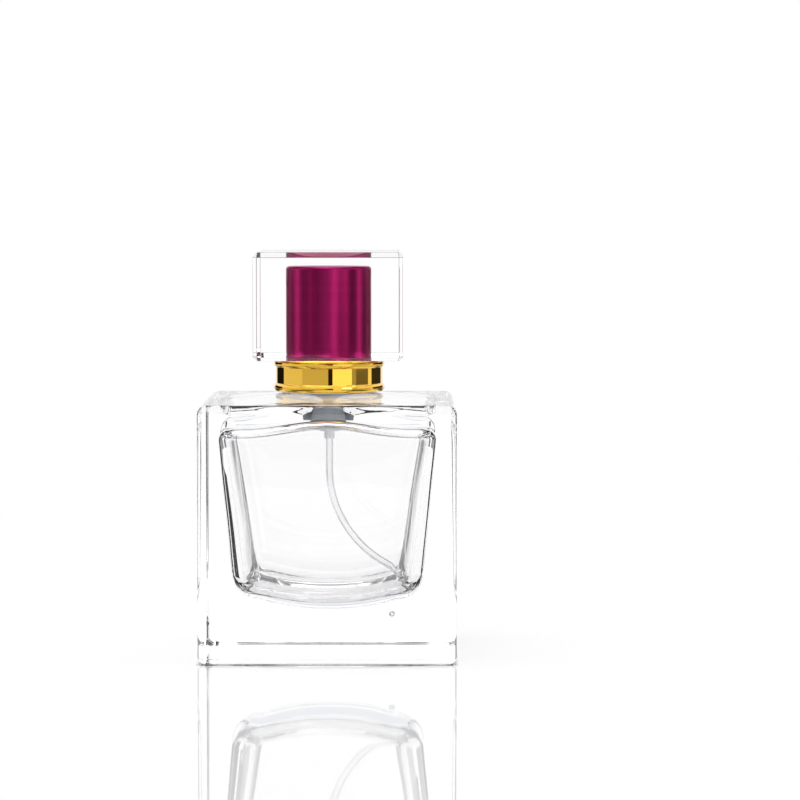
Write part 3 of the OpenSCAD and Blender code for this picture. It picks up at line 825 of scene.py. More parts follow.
@dataclass
class Flask:
    """The heavy glass flask: a rounded block round a tapered, moulded cavity.

    Args:
        edge_r: Radius of the block's upright and top edges.
        base_edge_r: Radius of its bottom edges.
        crown_h: Height that the shoulder rises from the block's edges to the neck.
        crown_start: Distance inside the block's flat top at which the rise starts.
        crown_end: Distance from the neck at which the rise ends.
        wall_top: Wall at the top of the cavity.
        wall_bottom: Wall at the bottom of the cavity.
        base_t: Thickness of the base.
        shoulder_t: Thickness of the shoulder over the cavity's corners.
        ceiling_rise: Rise of the ceiling from its corners to its middle.
        vault_w: Width of the rise, which runs along both middle lines.
        funnel: Further rise of the ceiling to the throat.
        funnel_r: Radius at which that rise starts.
        funnel_run: Width of the ring in which it rises.
        floor_r: Radius of the cavity's bottom edges.
        ceiling_r: Radius of the cavity's top edges.
        corner_r: Radius in plan that the cavity's corners have besides that of their edges.
        floor_bow: Height that the floor has risen at the bow's reach.
        bow_reach: Distance from the middle at which it has.
        bow_power: How late the bow rises, where 2 is an even curve.
        unevenness: Depth of the slow dents that blowing leaves in the cavity.
        dent_scale: Number of dents in a millimetre.
        dent_seed: Seed of the dents, which keeps them the same each time.
        bubble_at: Centre of the small air bubble in the base.
        bubble_r: Radius of the bubble.
        neck_h: Height of the neck.
        bead_d: Diameter of the bead.
        bead_h: Height of the bead.
        groove: Depth of the groove under the bead.
        bore: Bore of the neck.
        throat_r: Radius of the edge where the bore meets the ceiling.
        soft: Smallest radius of a ring's corners.
        plan: How the rings' points are shared out.
    """

    edge_r: float = 2.2
    base_edge_r: float = 1.6
    crown_h: float = 1.5
    crown_start: float = 0.2
    crown_end: float = 1.4
    wall_top: float = 4.8
    wall_bottom: float = 7.4
    base_t: float = 10.8
    shoulder_t: float = 5.7
    ceiling_rise: float = 2.0
    vault_w: float = 40.0
    funnel: float = 1.5
    funnel_r: float = 21.0
    funnel_run: float = 14.0
    floor_r: float = 6.0
    ceiling_r: float = 2.6
    corner_r: float = 2.0
    floor_bow: float = 2.1
    bow_reach: float = 16.0
    bow_power: float = 2.2
    unevenness: float = 0.12
    dent_scale: float = 0.07
    dent_seed: int = 3
    bubble_at: Point = (15.0, -17.0, 10.9)
    bubble_r: float = 0.7
    neck_h: float = 5.6
    bead_d: float = 15.0
    bead_h: float = 3.2
    groove: float = 0.9
    bore: float = 9.4
    throat_r: float = 1.6
    soft: float = 0.03
    plan: RingPlan = RingPlan(arc_steps=10, side_steps=14)

    def __post_init__(self) -> None:
        """Takes the block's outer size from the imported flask."""
        low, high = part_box("glass_bottle")
        self.half_w = (high.x - low.x) / 2 / MM
        self.half_d = (high.y - low.y) / 2 / MM
        self.neck_top = high.z / MM
        self.shoulder_z = self.neck_top - self.neck_h
        self.height = self.shoulder_z - self.crown_h
        self.neck_r = self.bead_d / 2 - self.groove

    @property
    def ceiling_z(self) -> float:
        """Height of the cavity's ceiling at its edge."""
        return self.height - self.shoulder_t

    @property
    def dome_z(self) -> float:
        """Height of the cavity's ceiling at the neck."""
        return self.ceiling_z + self.ceiling_rise + self.funnel

    def _outside(self) -> list[Ring]:
        """Lays the block's outside, from the middle of its base to its shoulder.

        Returns:
            The rings.
        """
        plan, r, low_r, soft = self.plan, self.edge_r, self.base_edge_r, self.soft
        edge_steps, wall_steps, inset = 10, 8, plan.support
        reach_w, reach_d = self.half_w - low_r, self.half_d - low_r
        rings = [plan.rounded(share * reach_w, share * reach_d, soft, 0.0) for share in (0.3, 0.6, 0.9)]
        rings.append(plan.rounded(reach_w - inset, reach_d - inset, soft, 0.0))
        for out, z in arc_points((0.0, low_r), low_r, -90, 0, edge_steps):
            rings.append(plan.rounded(reach_w + out, reach_d + out, max(out * r / low_r, soft), z))
        rise = self.height - low_r - r
        levels = [low_r + rise * step / wall_steps for step in range(1, wall_steps)]
        for z in (low_r + inset, *levels, self.height - r - inset):
            rings.append(plan.rounded(self.half_w, self.half_d, r, z))
        reach_w, reach_d = self.half_w - r, self.half_d - r
        for out, z in arc_points((0.0, self.height - r), r, 0, 90, edge_steps):
            rings.append(plan.rounded(reach_w + out, reach_d + out, max(out, soft), z))
        rings.append(plan.rounded(reach_w - inset, reach_d - inset, soft, self.height))
        return rings

    def _crown(self) -> list[Ring]:
        """Lays the shoulder, which rises from the block's edges to the neck.

        Returns:
            The rings.
        """
        steps = 18
        start_r = min(self.half_w, self.half_d) - self.edge_r - self.crown_start
        end_r = self.neck_r + self.crown_end
        square = self.plan.rounded(self.half_w - self.edge_r, self.half_d - self.edge_r, self.soft, 0.0)
        middle = self.plan.circle(end_r, 0.0)
        rings = []
        for step in range(1, steps + 1):
            ring = []
            for x, y, _ in blend_rings(square, middle, step / steps):
                share = (start_r - math.hypot(x, y)) / (start_r - end_r)
                ring.append((x, y, self.height + self.crown_h * ease(share)))
            rings.append(ring)
        return rings

    def _neck(self) -> list[Ring]:
        """Lays the neck, from the shoulder over the bead and down the bore to the cavity.

        Returns:
            The rings.
        """
        fillet, lip, mouth, throat = 0.8, 0.6, 0.3, self.throat_r
        neck_r, bead_r, bore_r = self.neck_r, self.bead_d / 2, self.bore / 2
        bead_z = self.neck_top - self.bead_h
        profile = [(neck_r + fillet + self.plan.support, self.shoulder_z)]
        profile += arc_points((neck_r + fillet, self.shoulder_z + fillet), fillet, 270, 180, 6)
        profile.append((neck_r, bead_z))
        profile += arc_points((bead_r - lip, bead_z + lip), lip, -90, 0, 6)
        profile += arc_points((bead_r - lip, self.neck_top - lip), lip, 0, 90, 6)
        profile += arc_points((bore_r + mouth, self.neck_top - mouth), mouth, 90, 180, 4)
        profile += arc_points((bore_r + throat, self.dome_z + throat), throat, 180, 270, 8)
        return [self.plan.circle(r, z) for r, z in profile]

    def _ceiling_over(self, x: float, y: float) -> float:
        """Finds the ceiling, an ogee across each middle line with a funnel to the throat.

        Args:
            x: Sideways place.
            y: Place in depth.

        Returns:
            The height of the ceiling over that place.
        """
        left = 1.0
        for offset in (abs(x), abs(y)):
            if offset < self.vault_w / 2:
                left *= 1 - (1 + math.cos(2 * math.pi * offset / self.vault_w)) / 2
        share = (self.funnel_r - math.hypot(x, y)) / self.funnel_run
        return self.ceiling_z + self.ceiling_rise * (1 - left) + self.funnel * ease(share)

    def _floor_under(self, x: float, y: float) -> float:
        """Height that the bowed floor has risen at a place."""
        return self.floor_bow * sum((abs(offset) / self.bow_reach) ** self.bow_power for offset in (x, y))

    def _reach(self, wall: float, radius: float) -> tuple[float, float]:
        """Half sizes of the cavity's flat middle, inside a wall and a rounded edge."""
        return self.half_w - wall - radius, self.half_d - wall - radius

    def _ceiling(self) -> list[Ring]:
        """Lays the ceiling, from the throat's circle out to the walls' rectangle.

        Returns:
            The rings.
        """
        steps, margin = 16, 0.1
        start = self.plan.circle(self.bore / 2 + self.throat_r + margin, 0.0)
        end = self.plan.rounded(*self._reach(self.wall_top, self.ceiling_r), self.corner_r, 0.0)
        rings = []
        for step in range(steps + 1):
            flat = blend_rings(start, end, step / steps)
            rings.append([(x, y, self._ceiling_over(x, y)) for x, y, _ in flat])
        return rings

    def _cavity(self) -> list[Ring]:
        """Lays the cavity's walls and floor, from its ceiling down.

        Returns:
            The rings.
        """
        first_angle, top_steps, wall_steps, low_steps, floor_steps = 80, 9, 16, 14, 10
        plan, corner_r = self.plan, self.corner_r
        top_w, top_d = self._reach(self.wall_top, self.ceiling_r)
        low_w, low_d = self._reach(self.wall_bottom, self.floor_r)
        top_z, low_z = self.ceiling_z - self.ceiling_r, self.base_t + self.floor_r
        run = Vector((top_w - low_w, top_z - low_z))
        slope = math.atan2(run.y, run.x)
        lean = math.degrees(slope - math.acos((self.floor_r - self.ceiling_r) / run.length))
        edge = plan.rounded(top_w, top_d, corner_r, 0.0)
        rings = []
        for out, rise in arc_points((0.0, -self.ceiling_r), self.ceiling_r, first_angle, lean, top_steps):
            ring = plan.rounded(top_w + out, top_d + out, corner_r + out, rise)
            rings.append([(x, y, z + self._ceiling_over(u, v)) for (x, y, z), (u, v, _) in zip(ring, edge)])
        edge = plan.rounded(low_w, low_d, corner_r, 0.0)
        low_rings = []
        for out, level in arc_points((0.0, low_z), self.floor_r, lean, -90, low_steps):
            ring = plan.rounded(low_w + out, low_d + out, corner_r + out, level)
            bowed = [(x, y, z + self._floor_under(u, v)) for (x, y, z), (u, v, _) in zip(ring, edge)]
            low_rings.append(bowed)
        start, end = rings[-1], low_rings[0]
        rings += [blend_rings(start, end, step / wall_steps) for step in range(1, wall_steps)]
        rings += low_rings
        for share in (0.97, *(step / floor_steps for step in range(floor_steps - 1, 0, -1))):
            ring = plan.rounded(share * low_w, share * low_d, share * corner_r, self.base_t)
            rings.append([(x, y, z + self._floor_under(x, y)) for x, y, z in ring])
        return rings

    def _dent(self, point: Point) -> Point:
        """Moves a point of the cavity by the slow dents of blown glass."""
        spot = Vector(point)
        return tuple(spot + noise.noise_vector(spot * self.dent_scale) * self.unevenness)

    def _bubble(self, shape: Shape) -> None:
        """Adds the small air bubble in the base, as a hollow in the glass.

        Args:
            shape: The flask's mesh.
        """
        made = bmesh.ops.create_icosphere(shape, subdivisions=3, radius=self.bubble_r)
        bmesh.ops.translate(shape, verts=made["verts"], vec=Vector(self.bubble_at))
        faces = {face for vert in made["verts"] for face in vert.link_faces}
        bmesh.ops.reverse_faces(shape, faces=list(faces))

    def build(self) -> Piece:
        """Builds the flask as one closed skin, outside and inside.

        Returns:
            The flask.
        """
        shape = bmesh.new()
        noise.seed_set(self.dent_seed)
        cavity = [[self._dent(point) for point in ring] for ring in self._ceiling() + self._cavity()]
        loft(shape, self._outside() + self._crown() + self._neck() + cavity)
        self._bubble(shape)
        return finish_mesh("moulded_flask", shape, 80)

    def _in_neck(self, spot: Vector) -> bool:
        """Tells whether a place on the skin is on the neck, past the fillets at its foot.

        Args:
            spot: The place in metres.

        Returns:
            Whether it is on the neck.
        """
        foot, throat, slack = 0.5, 1.5, 0.1
        reach, z = math.hypot(spot.x, spot.y) / MM, spot.z / MM
        outside = z > self.shoulder_z + foot and reach < self.bead_d / 2 + slack
        inside = z > self.dome_z + throat and reach < self.bore / 2 + slack
        return outside or inside

    def dress(self, piece: Piece, glass: Material, neck: Material) -> None:
        """Gives the flask its glass, the painted reflection on its neck and its place.

        Args:
            piece: The flask.
            glass: The clear glass.
            neck: An opaque grey-blue on the neck's faces, a painted reflection of the pump's metal seen
                through the clear glass.
        """
        dress(piece, glass, neck)
        for face in piece.data.polygons:
            face.material_index = int(self._in_neck(face.center))
        seat(piece, Body.BOTTLE, Slot.GLASS, "glass_bottle")


@dataclass
class DipTube:
    """The soft tube that bends to the corner of the cavity.

    Args:
        tube_d: Outer diameter.
        tube_bore: Bore.
        bend_z: Height at which the bend starts.
        bend_r: Radius of the bend.
        end_x: Sideways place of the tube's end.
        end_z: Height of the tube's end.
        end_slant: Lean of the cut end in degrees.
        sides: Number of points round the tube.
        bend_steps: Number of steps in the bend.
    """

    tube_d: float = 1.7
    tube_bore: float = 1.1
    bend_z: float = 42.49
    bend_r: float = 25.7
    end_x: float = 18.465
    end_z: float = 16.9
    end_slant: float = -30.0
    sides: int = 24
    bend_steps: int = 36

    def _stations(self) -> list[Station]:
        """Finds the places along the tube, straight down and then round the bend.

        Returns:
            Their x, z, heading from straight down, and slant, in millimetres and radians.
        """
        fall = self.bend_z - self.end_z
        past = self.end_x - self.bend_r
        reach = math.sqrt(past**2 + fall**2 - self.bend_r**2)
        turn = math.atan2(-fall, past) + math.pi - math.atan2(reach, self.bend_r)
        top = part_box("dip_tube")[1].z / MM
        stations = [(0.0, top, 0.0, 0.0), (0.0, (top + self.bend_z) / 2, 0.0, 0.0)]
        for step in range(self.bend_steps + 1):
            angle = turn * step / self.bend_steps
            x = self.bend_r * (1 - math.cos(angle))
            z = self.bend_z - self.bend_r * math.sin(angle)
            stations.append((x, z, angle, 0.0))
        stations.append((self.end_x, self.end_z, turn, math.radians(self.end_slant)))
        return stations

    def _ring(self, station: Station, radius: float) -> Ring:
        """Lays one ring round the tube.

        Args:
            station: The place, heading and slant of the ring.
            radius: Radius of the ring.

        Returns:
            The ring's points.
        """
        x, z, heading, slant = station
        ring = []
        for index in range(self.sides):
            around = -2 * math.pi * index / self.sides
            side = radius * math.cos(around)
            ahead = side * math.tan(slant)
            ring.append((
                x + side * math.cos(heading) + ahead * math.sin(heading),
                radius * math.sin(around),
                z + side * math.sin(heading) - ahead * math.cos(heading),
            ))
        return ring

    def build(self) -> Piece:
        """Builds the tube with its wall and both cut ends.

        Returns:
            The tube.
        """
        shape = bmesh.new()
        stations = self._stations()
        outside = [self._ring(station, self.tube_d / 2) for station in stations]
        inside = [self._ring(station, self.tube_bore / 2) for station in reversed(stations)]
        skin(shape, outside + inside, closed=True)
        return finish_mesh("bent_dip_tube", shape, 50)

    def dress(self, piece: Piece, material: Material) -> None:
        """Gives the tube its plastic and its place."""
        dress(piece, material)
        seat(piece, Body.BOTTLE, Slot.TUBE, "dip_tube")


@dataclass(frozen=True)
class PumpSpring:
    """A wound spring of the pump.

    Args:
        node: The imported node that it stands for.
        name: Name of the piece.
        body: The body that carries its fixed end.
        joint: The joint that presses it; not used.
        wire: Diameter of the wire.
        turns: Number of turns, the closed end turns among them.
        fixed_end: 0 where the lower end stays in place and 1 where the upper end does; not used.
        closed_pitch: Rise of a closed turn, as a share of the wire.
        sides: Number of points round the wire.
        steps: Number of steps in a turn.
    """

    node: str
    name: str
    body: Body
    joint: str
    wire: float
    turns: float
    fixed_end: int
    closed_pitch: float = 1.05
    sides: int = 10
    steps: int = 28

    def _rise(self, turn: float, height: float) -> float:
        """Finds the height of the wire, with closed turns at both ends.

        Args:
            turn: Number of turns from the lower end.
            height: Height of the whole spring.

        Returns:
            The height of the wire's centre over that of the lower end.
        """
        closed = self.closed_pitch * self.wire
        pitch = (height - self.wire - 2 * closed) / (self.turns - 2)
        low, high = min(turn, 1.0), max(turn - self.turns + 1, 0.0)
        return (low + high) * closed + (turn - low - high) * pitch

    def build(self) -> Piece:
        """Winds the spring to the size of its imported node.

        Returns:
            The spring.
        """
        low, high = (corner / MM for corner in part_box(self.node))
        wire_r = self.wire / 2
        steps = math.ceil(self.turns * self.steps)
        rings = []
        for index in range(steps + 1):
            turn = self.turns * index / steps
            place = low.z + wire_r + self._rise(turn, high.z - low.z)
            bearing = 2 * math.pi * turn
            ring = []
            for out, up in arc_points((high.x - wire_r, place), wire_r, 0, 360, self.sides)[:-1]:
                ring.append((out * math.cos(bearing), out * math.sin(bearing), up))
            rings.append(ring)
        shape = bmesh.new()
        rows = skin(shape, rings)
        for end in (rows[0], rows[-1]):
            shape.faces.new(end)
        bmesh.ops.recalc_face_normals(shape, faces=shape.faces)
        return finish_mesh(self.name, shape, 60)

    def dress(self, piece: Piece, material: Material, joints: dict[str, dict]) -> None:
        """Gives the spring its steel and its place.

        Args:
            piece: The spring.
            material: Its steel.
            joints: The record's joints by name; not used.
        """
        dress(piece, material)
        seat(piece, self.body, Slot.STEEL, self.node)
        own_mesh(piece)


@dataclass
class WideCollar:
    """The polished gold collar with a rolled bead at each edge.

    Args:
        sheet: Thickness of the sheet.
        bead_h: Height of each bead.
        bead_out: Distance that the beads stand out.
        hole_d: Diameter of the hole in the top.
        edge_r: Radius of the polished edges of the top.
    """

    sheet: float = 0.5
    bead_h: float = 1.9
    bead_out: float = 0.5
    hole_d: float = 16.8
    edge_r: float = 0.12

    def _bead(self, waist_r: float, low_z: float) -> list[ProfilePoint]:
        """Draws one bead, from its lower edge to its upper edge.

        Args:
            waist_r: Radius of the collar between the beads.
            low_z: Height of the bead's lower edge.

        Returns:
            The bead's points.
        """
        half_h = self.bead_h / 2
        curve_r = (half_h**2 + self.bead_out**2) / (2 * self.bead_out)
        spread = math.degrees(math.asin(half_h / curve_r))
        centre = (waist_r + self.bead_out - curve_r, low_z + half_h)
        return arc_points(centre, curve_r, -spread, spread, 14)

    def build(self) -> Piece:
        """Turns the collar from its profile.

        Returns:
            The collar.
        """
        low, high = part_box("gold_collar")
        low_z, high_z, waist_r = low.z / MM, high.z / MM, high.x / MM - self.bead_out
        edge_r, hole_r, under_top = self.edge_r, self.hole_d / 2, high_z - self.sheet
        inner_r = waist_r - self.sheet
        profile = [(inner_r, low_z)]
        profile += self._bead(waist_r, low_z)
        profile += self._bead(waist_r, high_z - self.bead_h)
        profile += arc_points((waist_r - edge_r, high_z - edge_r), edge_r, 30, 90, 4)
        profile += arc_points((hole_r + edge_r, high_z - edge_r), edge_r, 90, 180, 4)
        profile += [(hole_r, under_top), (inner_r, under_top)]
        return lathe("rolled_gold_collar", profile, 220, 28)

    def dress(self, piece: Piece, material: Material) -> None:
        """Gives the collar its gold and its place."""
        dress(piece, material)
        seat(piece, Body.BOTTLE, Slot.GOLD, "gold_collar")


@dataclass
class BlockCap:
    """The clear block cap with its coloured sleeve, which is bonded in with no air between.

    Args:
        chamfer: Height of the chamfer round the block's top.
        low_chamfer: Height of the chamfer round its bottom.
        inset: Depth of both chamfers, and of the upright ones.
        corner_cut: Width of the upright chamfers.
        polish: Width that polishing takes off the chamfers' edges.
        sharp_turn: Turn in degrees from which an edge is polished.
        bond: Depth that the clear block reaches into the sleeve's skin.
        sleeve_wall: Wall of the coloured sleeve.
        draw_r: Radius of the sleeve's closed end.
        rim: Cut of the edges of its rim.
        inner_cut: Cut of the corner inside its closed end.
        plan: How the points of the block's rings are shared out.
    """

    chamfer: float = 1.2
    low_chamfer: float = 0.85
    inset: float = 1.05
    corner_cut: float = 0.85
    polish: float = 0.1
    sharp_turn: float = 25.0
    bond: float = 0.03
    sleeve_wall: float = 0.4
    draw_r: float = 0.8
    rim: float = 0.08
    inner_cut: float = 0.4
    plan: RingPlan = RingPlan(arc_steps=2, side_steps=20, support=0.6)

    def __post_init__(self) -> None:
        """Takes the cap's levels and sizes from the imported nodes."""
        low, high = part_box("cap_block")
        self.half, self.low_z, self.high_z = high.x / MM, low.z / MM, high.z / MM
        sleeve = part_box("cap_sleeve")[1]
        self.sleeve_r, self.sleeve_top = sleeve.x / MM, sleeve.z / MM

    def _shell(self) -> list[Ring]:
        """Lays the block's outside, from the top middle down to the bore's rim.

        Returns:
            The rings.
        """
        plan, inset = self.plan, self.inset
        none, full = (0.0, 0.0), (self.corner_cut, inset)
        rings = [plan.chamfered(share * (self.half - inset), none, self.high_z) for share in (0.4, 1.0)]
        rings.append(plan.chamfered(self.half, full, self.high_z - self.chamfer))
        rings.append(plan.chamfered(self.half, full, self.low_z + self.low_chamfer))
        rings.append(plan.chamfered(self.half - inset, none, self.low_z))
        return rings

    def _end(self, radius: float, top: float) -> list[ProfilePoint]:
        """Draws the rounded edge of the closed end, from its wall to its flat."""
        return arc_points((radius - self.draw_r, top - self.draw_r), self.draw_r, 0, 90, 8)

    def _bore(self) -> list[Ring]:
        """Lays the bore, which hugs the sleeve all the way to its rounded end.

        Returns:
            The rings.
        """
        bore_r, top = self.sleeve_r - self.bond, self.sleeve_top - self.bond
        profile = [(bore_r, self.low_z), *self._end(bore_r, top), (bore_r / 2, top)]
        return [self.plan.circle(r, z) for r, z in profile]

    def build_block(self) -> Piece:
        """Builds the clear block.

        Returns:
            The block.
        """
        shape = bmesh.new()
        loft(shape, self._shell() + self._bore())
        bmesh.ops.reverse_faces(shape, faces=shape.faces)
        self._polish(shape)
        return finish_mesh("clear_cap_block", shape, 5)

    def _polish(self, shape: Shape) -> None:
        """Takes the sharpness off the edges of the block's chamfers, and gives the new faces the hazy edge
        acrylic whose dark grey tint is painted shade.

        Args:
            shape: The block's mesh.
        """
        bmesh.ops.remove_doubles(shape, verts=shape.verts, dist=MERGE)
        outside = self.sleeve_r * 1.5
        edges = []
        for edge in shape.edges:
            if len(edge.link_faces) == 2 and edge.calc_face_angle() > math.radians(self.sharp_turn):
                if min(abs(vert.co.x) + abs(vert.co.y) for vert in edge.verts) > outside:
                    edges.append(edge)
        made = bmesh.ops.bevel(
            shape, geom=edges, offset=self.polish, segments=2, profile=0.5, affect="EDGES"
        )
        # The polished faces take the second material, whose dark tint is painted shade.
        for face in made["faces"]:
            face.material_index = 1

    def build_sleeve(self) -> Piece:
        """Turns the coloured sleeve, a deep-drawn cup that opens downwards.

        Returns:
            The sleeve.
        """
        outer, inner, rim, cut = self.sleeve_r, self.sleeve_r - self.sleeve_wall, self.rim, self.inner_cut
        low, top, under = self.low_z, self.sleeve_top, self.sleeve_top - self.sleeve_wall
        profile = [(inner, low + rim), (inner + rim, low), (outer - rim, low), (outer, low + rim)]
        profile += self._end(outer, top)
        profile += [(0.0, top), (0.0, under), (inner - cut, under), (inner, under - cut)]
        return lathe("coloured_cap_sleeve", profile, 200, 35)

    def dress(self, block: Piece, sleeve: Piece, effects: Effects) -> None:
        """Gives the block and the sleeve their finishes and places.

        Args:
            block: The clear block.
            sleeve: The coloured sleeve.
            effects: The shared effects.
        """
        dress(block, CLEAR_ACRYLIC.make(effects), GROUND_AND_SHADED_EDGE.make(effects))
        seat(block, Body.CAP, Slot.ACRYLIC, "cap_block")
        dress(sleeve, MAGENTA.make(effects))
        seat(sleeve, Body.CAP, Slot.MAGENTA, "cap_sleeve")


@dataclass
class PackedPieces:
    """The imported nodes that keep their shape, with the finish of each.

    Args:
        nodes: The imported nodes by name.
        sharp_angle: Edges that turn by more than this, in degrees, stay sharp.
    """

    nodes: dict[str, Piece]
    sharp_angle: float = 35.0

    def dress(self, effects: Effects) -> None:
        """Dresses every piece that is shown as packed.

        Args:
            effects: The shared effects.
        """
        finishes = {
            SILVER: ("collar_sleeve", "crimp_ferrule", "actuator_shell"),
            WHITE_PLASTIC: ("collar_insert", "actuator_core", "nozzle_insert", "cap_liner"),
            NATURAL_PLASTIC: ("pump_housing", "housing_closure", "pump_stem", "pump_piston"),
            DARK_RUBBER: ("neck_gasket",),
            BALL_STEEL: ("inlet_ball",),
        }
        for finish, names in finishes.items():
            material = finish.make(effects)
            for name in names:
                dress(self.nodes[name], material)
                smooth(self.nodes[name], self.sharp_angle)
                LOG.info("%s keeps its packed shape, in %s", name, finish.name)


# ---------------------------------------------------------------------------------------------
# The set
# ---------------------------------------------------------------------------------------------


class Sight(Enum):
    """The rays that see a panel: those that metal turns back or those that leave the glass."""

    MIRRORED = "mirrored"
    REFRACTED = "refracted"


@dataclass(frozen=True)
class Card:
    """A curved panel that stands round the bottle and shows only in metal or glass.

    A mirrored panel shows only to rays about as long as its distance, which start at the bottle.
    A refracted one shows only to rays that have been turned back inside the glass.

    Args:
        name: Name of the panel.
        start: First bearing in degrees, from straight in front, to the right.
        end: Last bearing in degrees.
        level: Brightness of the panel, where 1 is white.
        sight: The rays that see it.
        low: Height of its lower edge in metres.
        high: Height of its upper edge in metres.
        distance: Distance of its lower edge from the bottle's axis in metres.
        lean: Distance that its upper edge leans in towards the axis, in metres.
        bottle_r: Distance from the axis at which the mirrored rays start, in metres.
        slack: Most that their start may be off, in metres.
        cool: Tint of a refracted panel, a little cooler than white.
        step: Widest step of the panel's curve in degrees.
    """

    name: str
    start: float
    end: float
    level: float
    sight: Sight
    low: float = 0.0
    high: float = 0.22
    distance: float = 0.36
    lean: float = 0.0
    bottle_r: float = 0.008
    slack: float = 0.012
    cool: Colour = (0.93, 0.98, 1.05)
    step: float = 4.0

    def _shape(self) -> Shape:
        """Bends the panel round the bottle.

        Returns:
            The panel's mesh.
        """
        shape = bmesh.new()
        steps = max(2, round((self.end - self.start) / self.step))
        edges = []
        for step in range(steps + 1):
            bearing = math.radians(self.start + (self.end - self.start) * step / steps)
            edge = []
            for reach, z in ((self.distance, self.low), (self.distance - self.lean, self.high)):
                edge.append(shape.verts.new((reach * math.sin(bearing), -reach * math.cos(bearing), z)))
            edges.append(edge)
        for (low, high), (next_low, next_high) in zip(edges, edges[1:]):
            shape.faces.new((low, next_low, next_high, high))
        return shape

    def _material(self) -> Material:
        """Makes the panel's light, which only its own rays see.

        Returns:
            The material.
        """
        material = bpy.data.materials.new(self.name)
        tree, output = open_tree(material, "ShaderNodeOutputMaterial")
        path = add_node(tree, "ShaderNodeLightPath").outputs
        if self.sight is Sight.MIRRORED:
            tint = WHITE[:3]
            seen = compute(tree, "COMPARE", path["Ray Length"], self.distance - self.bottle_r, self.slack)
        else:
            tint = self.cool
            seen = compute(tree, "GREATER_THAN", path["Glossy Depth"], 0.5)
        colour = (*(self.level * part for part in tint), 1.0)
        glow = add_node(tree, "ShaderNodeEmission", colour, 1.0)
        blend_shaders(output, seen, add_node(tree, "ShaderNodeBsdfTransparent"), glow)
        return material

    def build(self) -> Piece:
        """Builds the panel and hides it from everything but mirrors and glass.

        Returns:
            The panel.
        """
        panel = make_object(self.name, self._shape())
        dress(panel, self._material())
        panel.visible_camera = False
        panel.visible_diffuse = False
        panel.visible_shadow = False
        panel.visible_glossy = self.sight is Sight.MIRRORED
        panel.visible_transmission = self.sight is Sight.REFRACTED
        return panel


@dataclass(frozen=True)
class Lamp:
    """A soft square lamp.

    Args:
        name: Name of the lamp.
        place: Its place in metres.
        target: The point that it faces.
        size: Its side in metres.
        power: Its power in watts.
        mirrored: Whether glossy surfaces show it.
    """

    name: str
    place: Point
    target: Point
    size: float
    power: float
    mirrored: bool

    def build(self) -> Piece:
        """Adds the lamp.

        Returns:
            The lamp.
        """
        light = bpy.data.lights.new(self.name, "AREA")
        light.size = self.size
        light.energy = self.power
        lamp = link_object(self.name, light)
        lamp.location = self.place
        lamp.visible_glossy = self.mirrored
        lamp.rotation_euler = (Vector(self.target) - Vector(self.place)).to_track_quat("-Z", "Y").to_euler()
        LOG.info("lamp %s at %s", self.name, self.place)
        return lamp


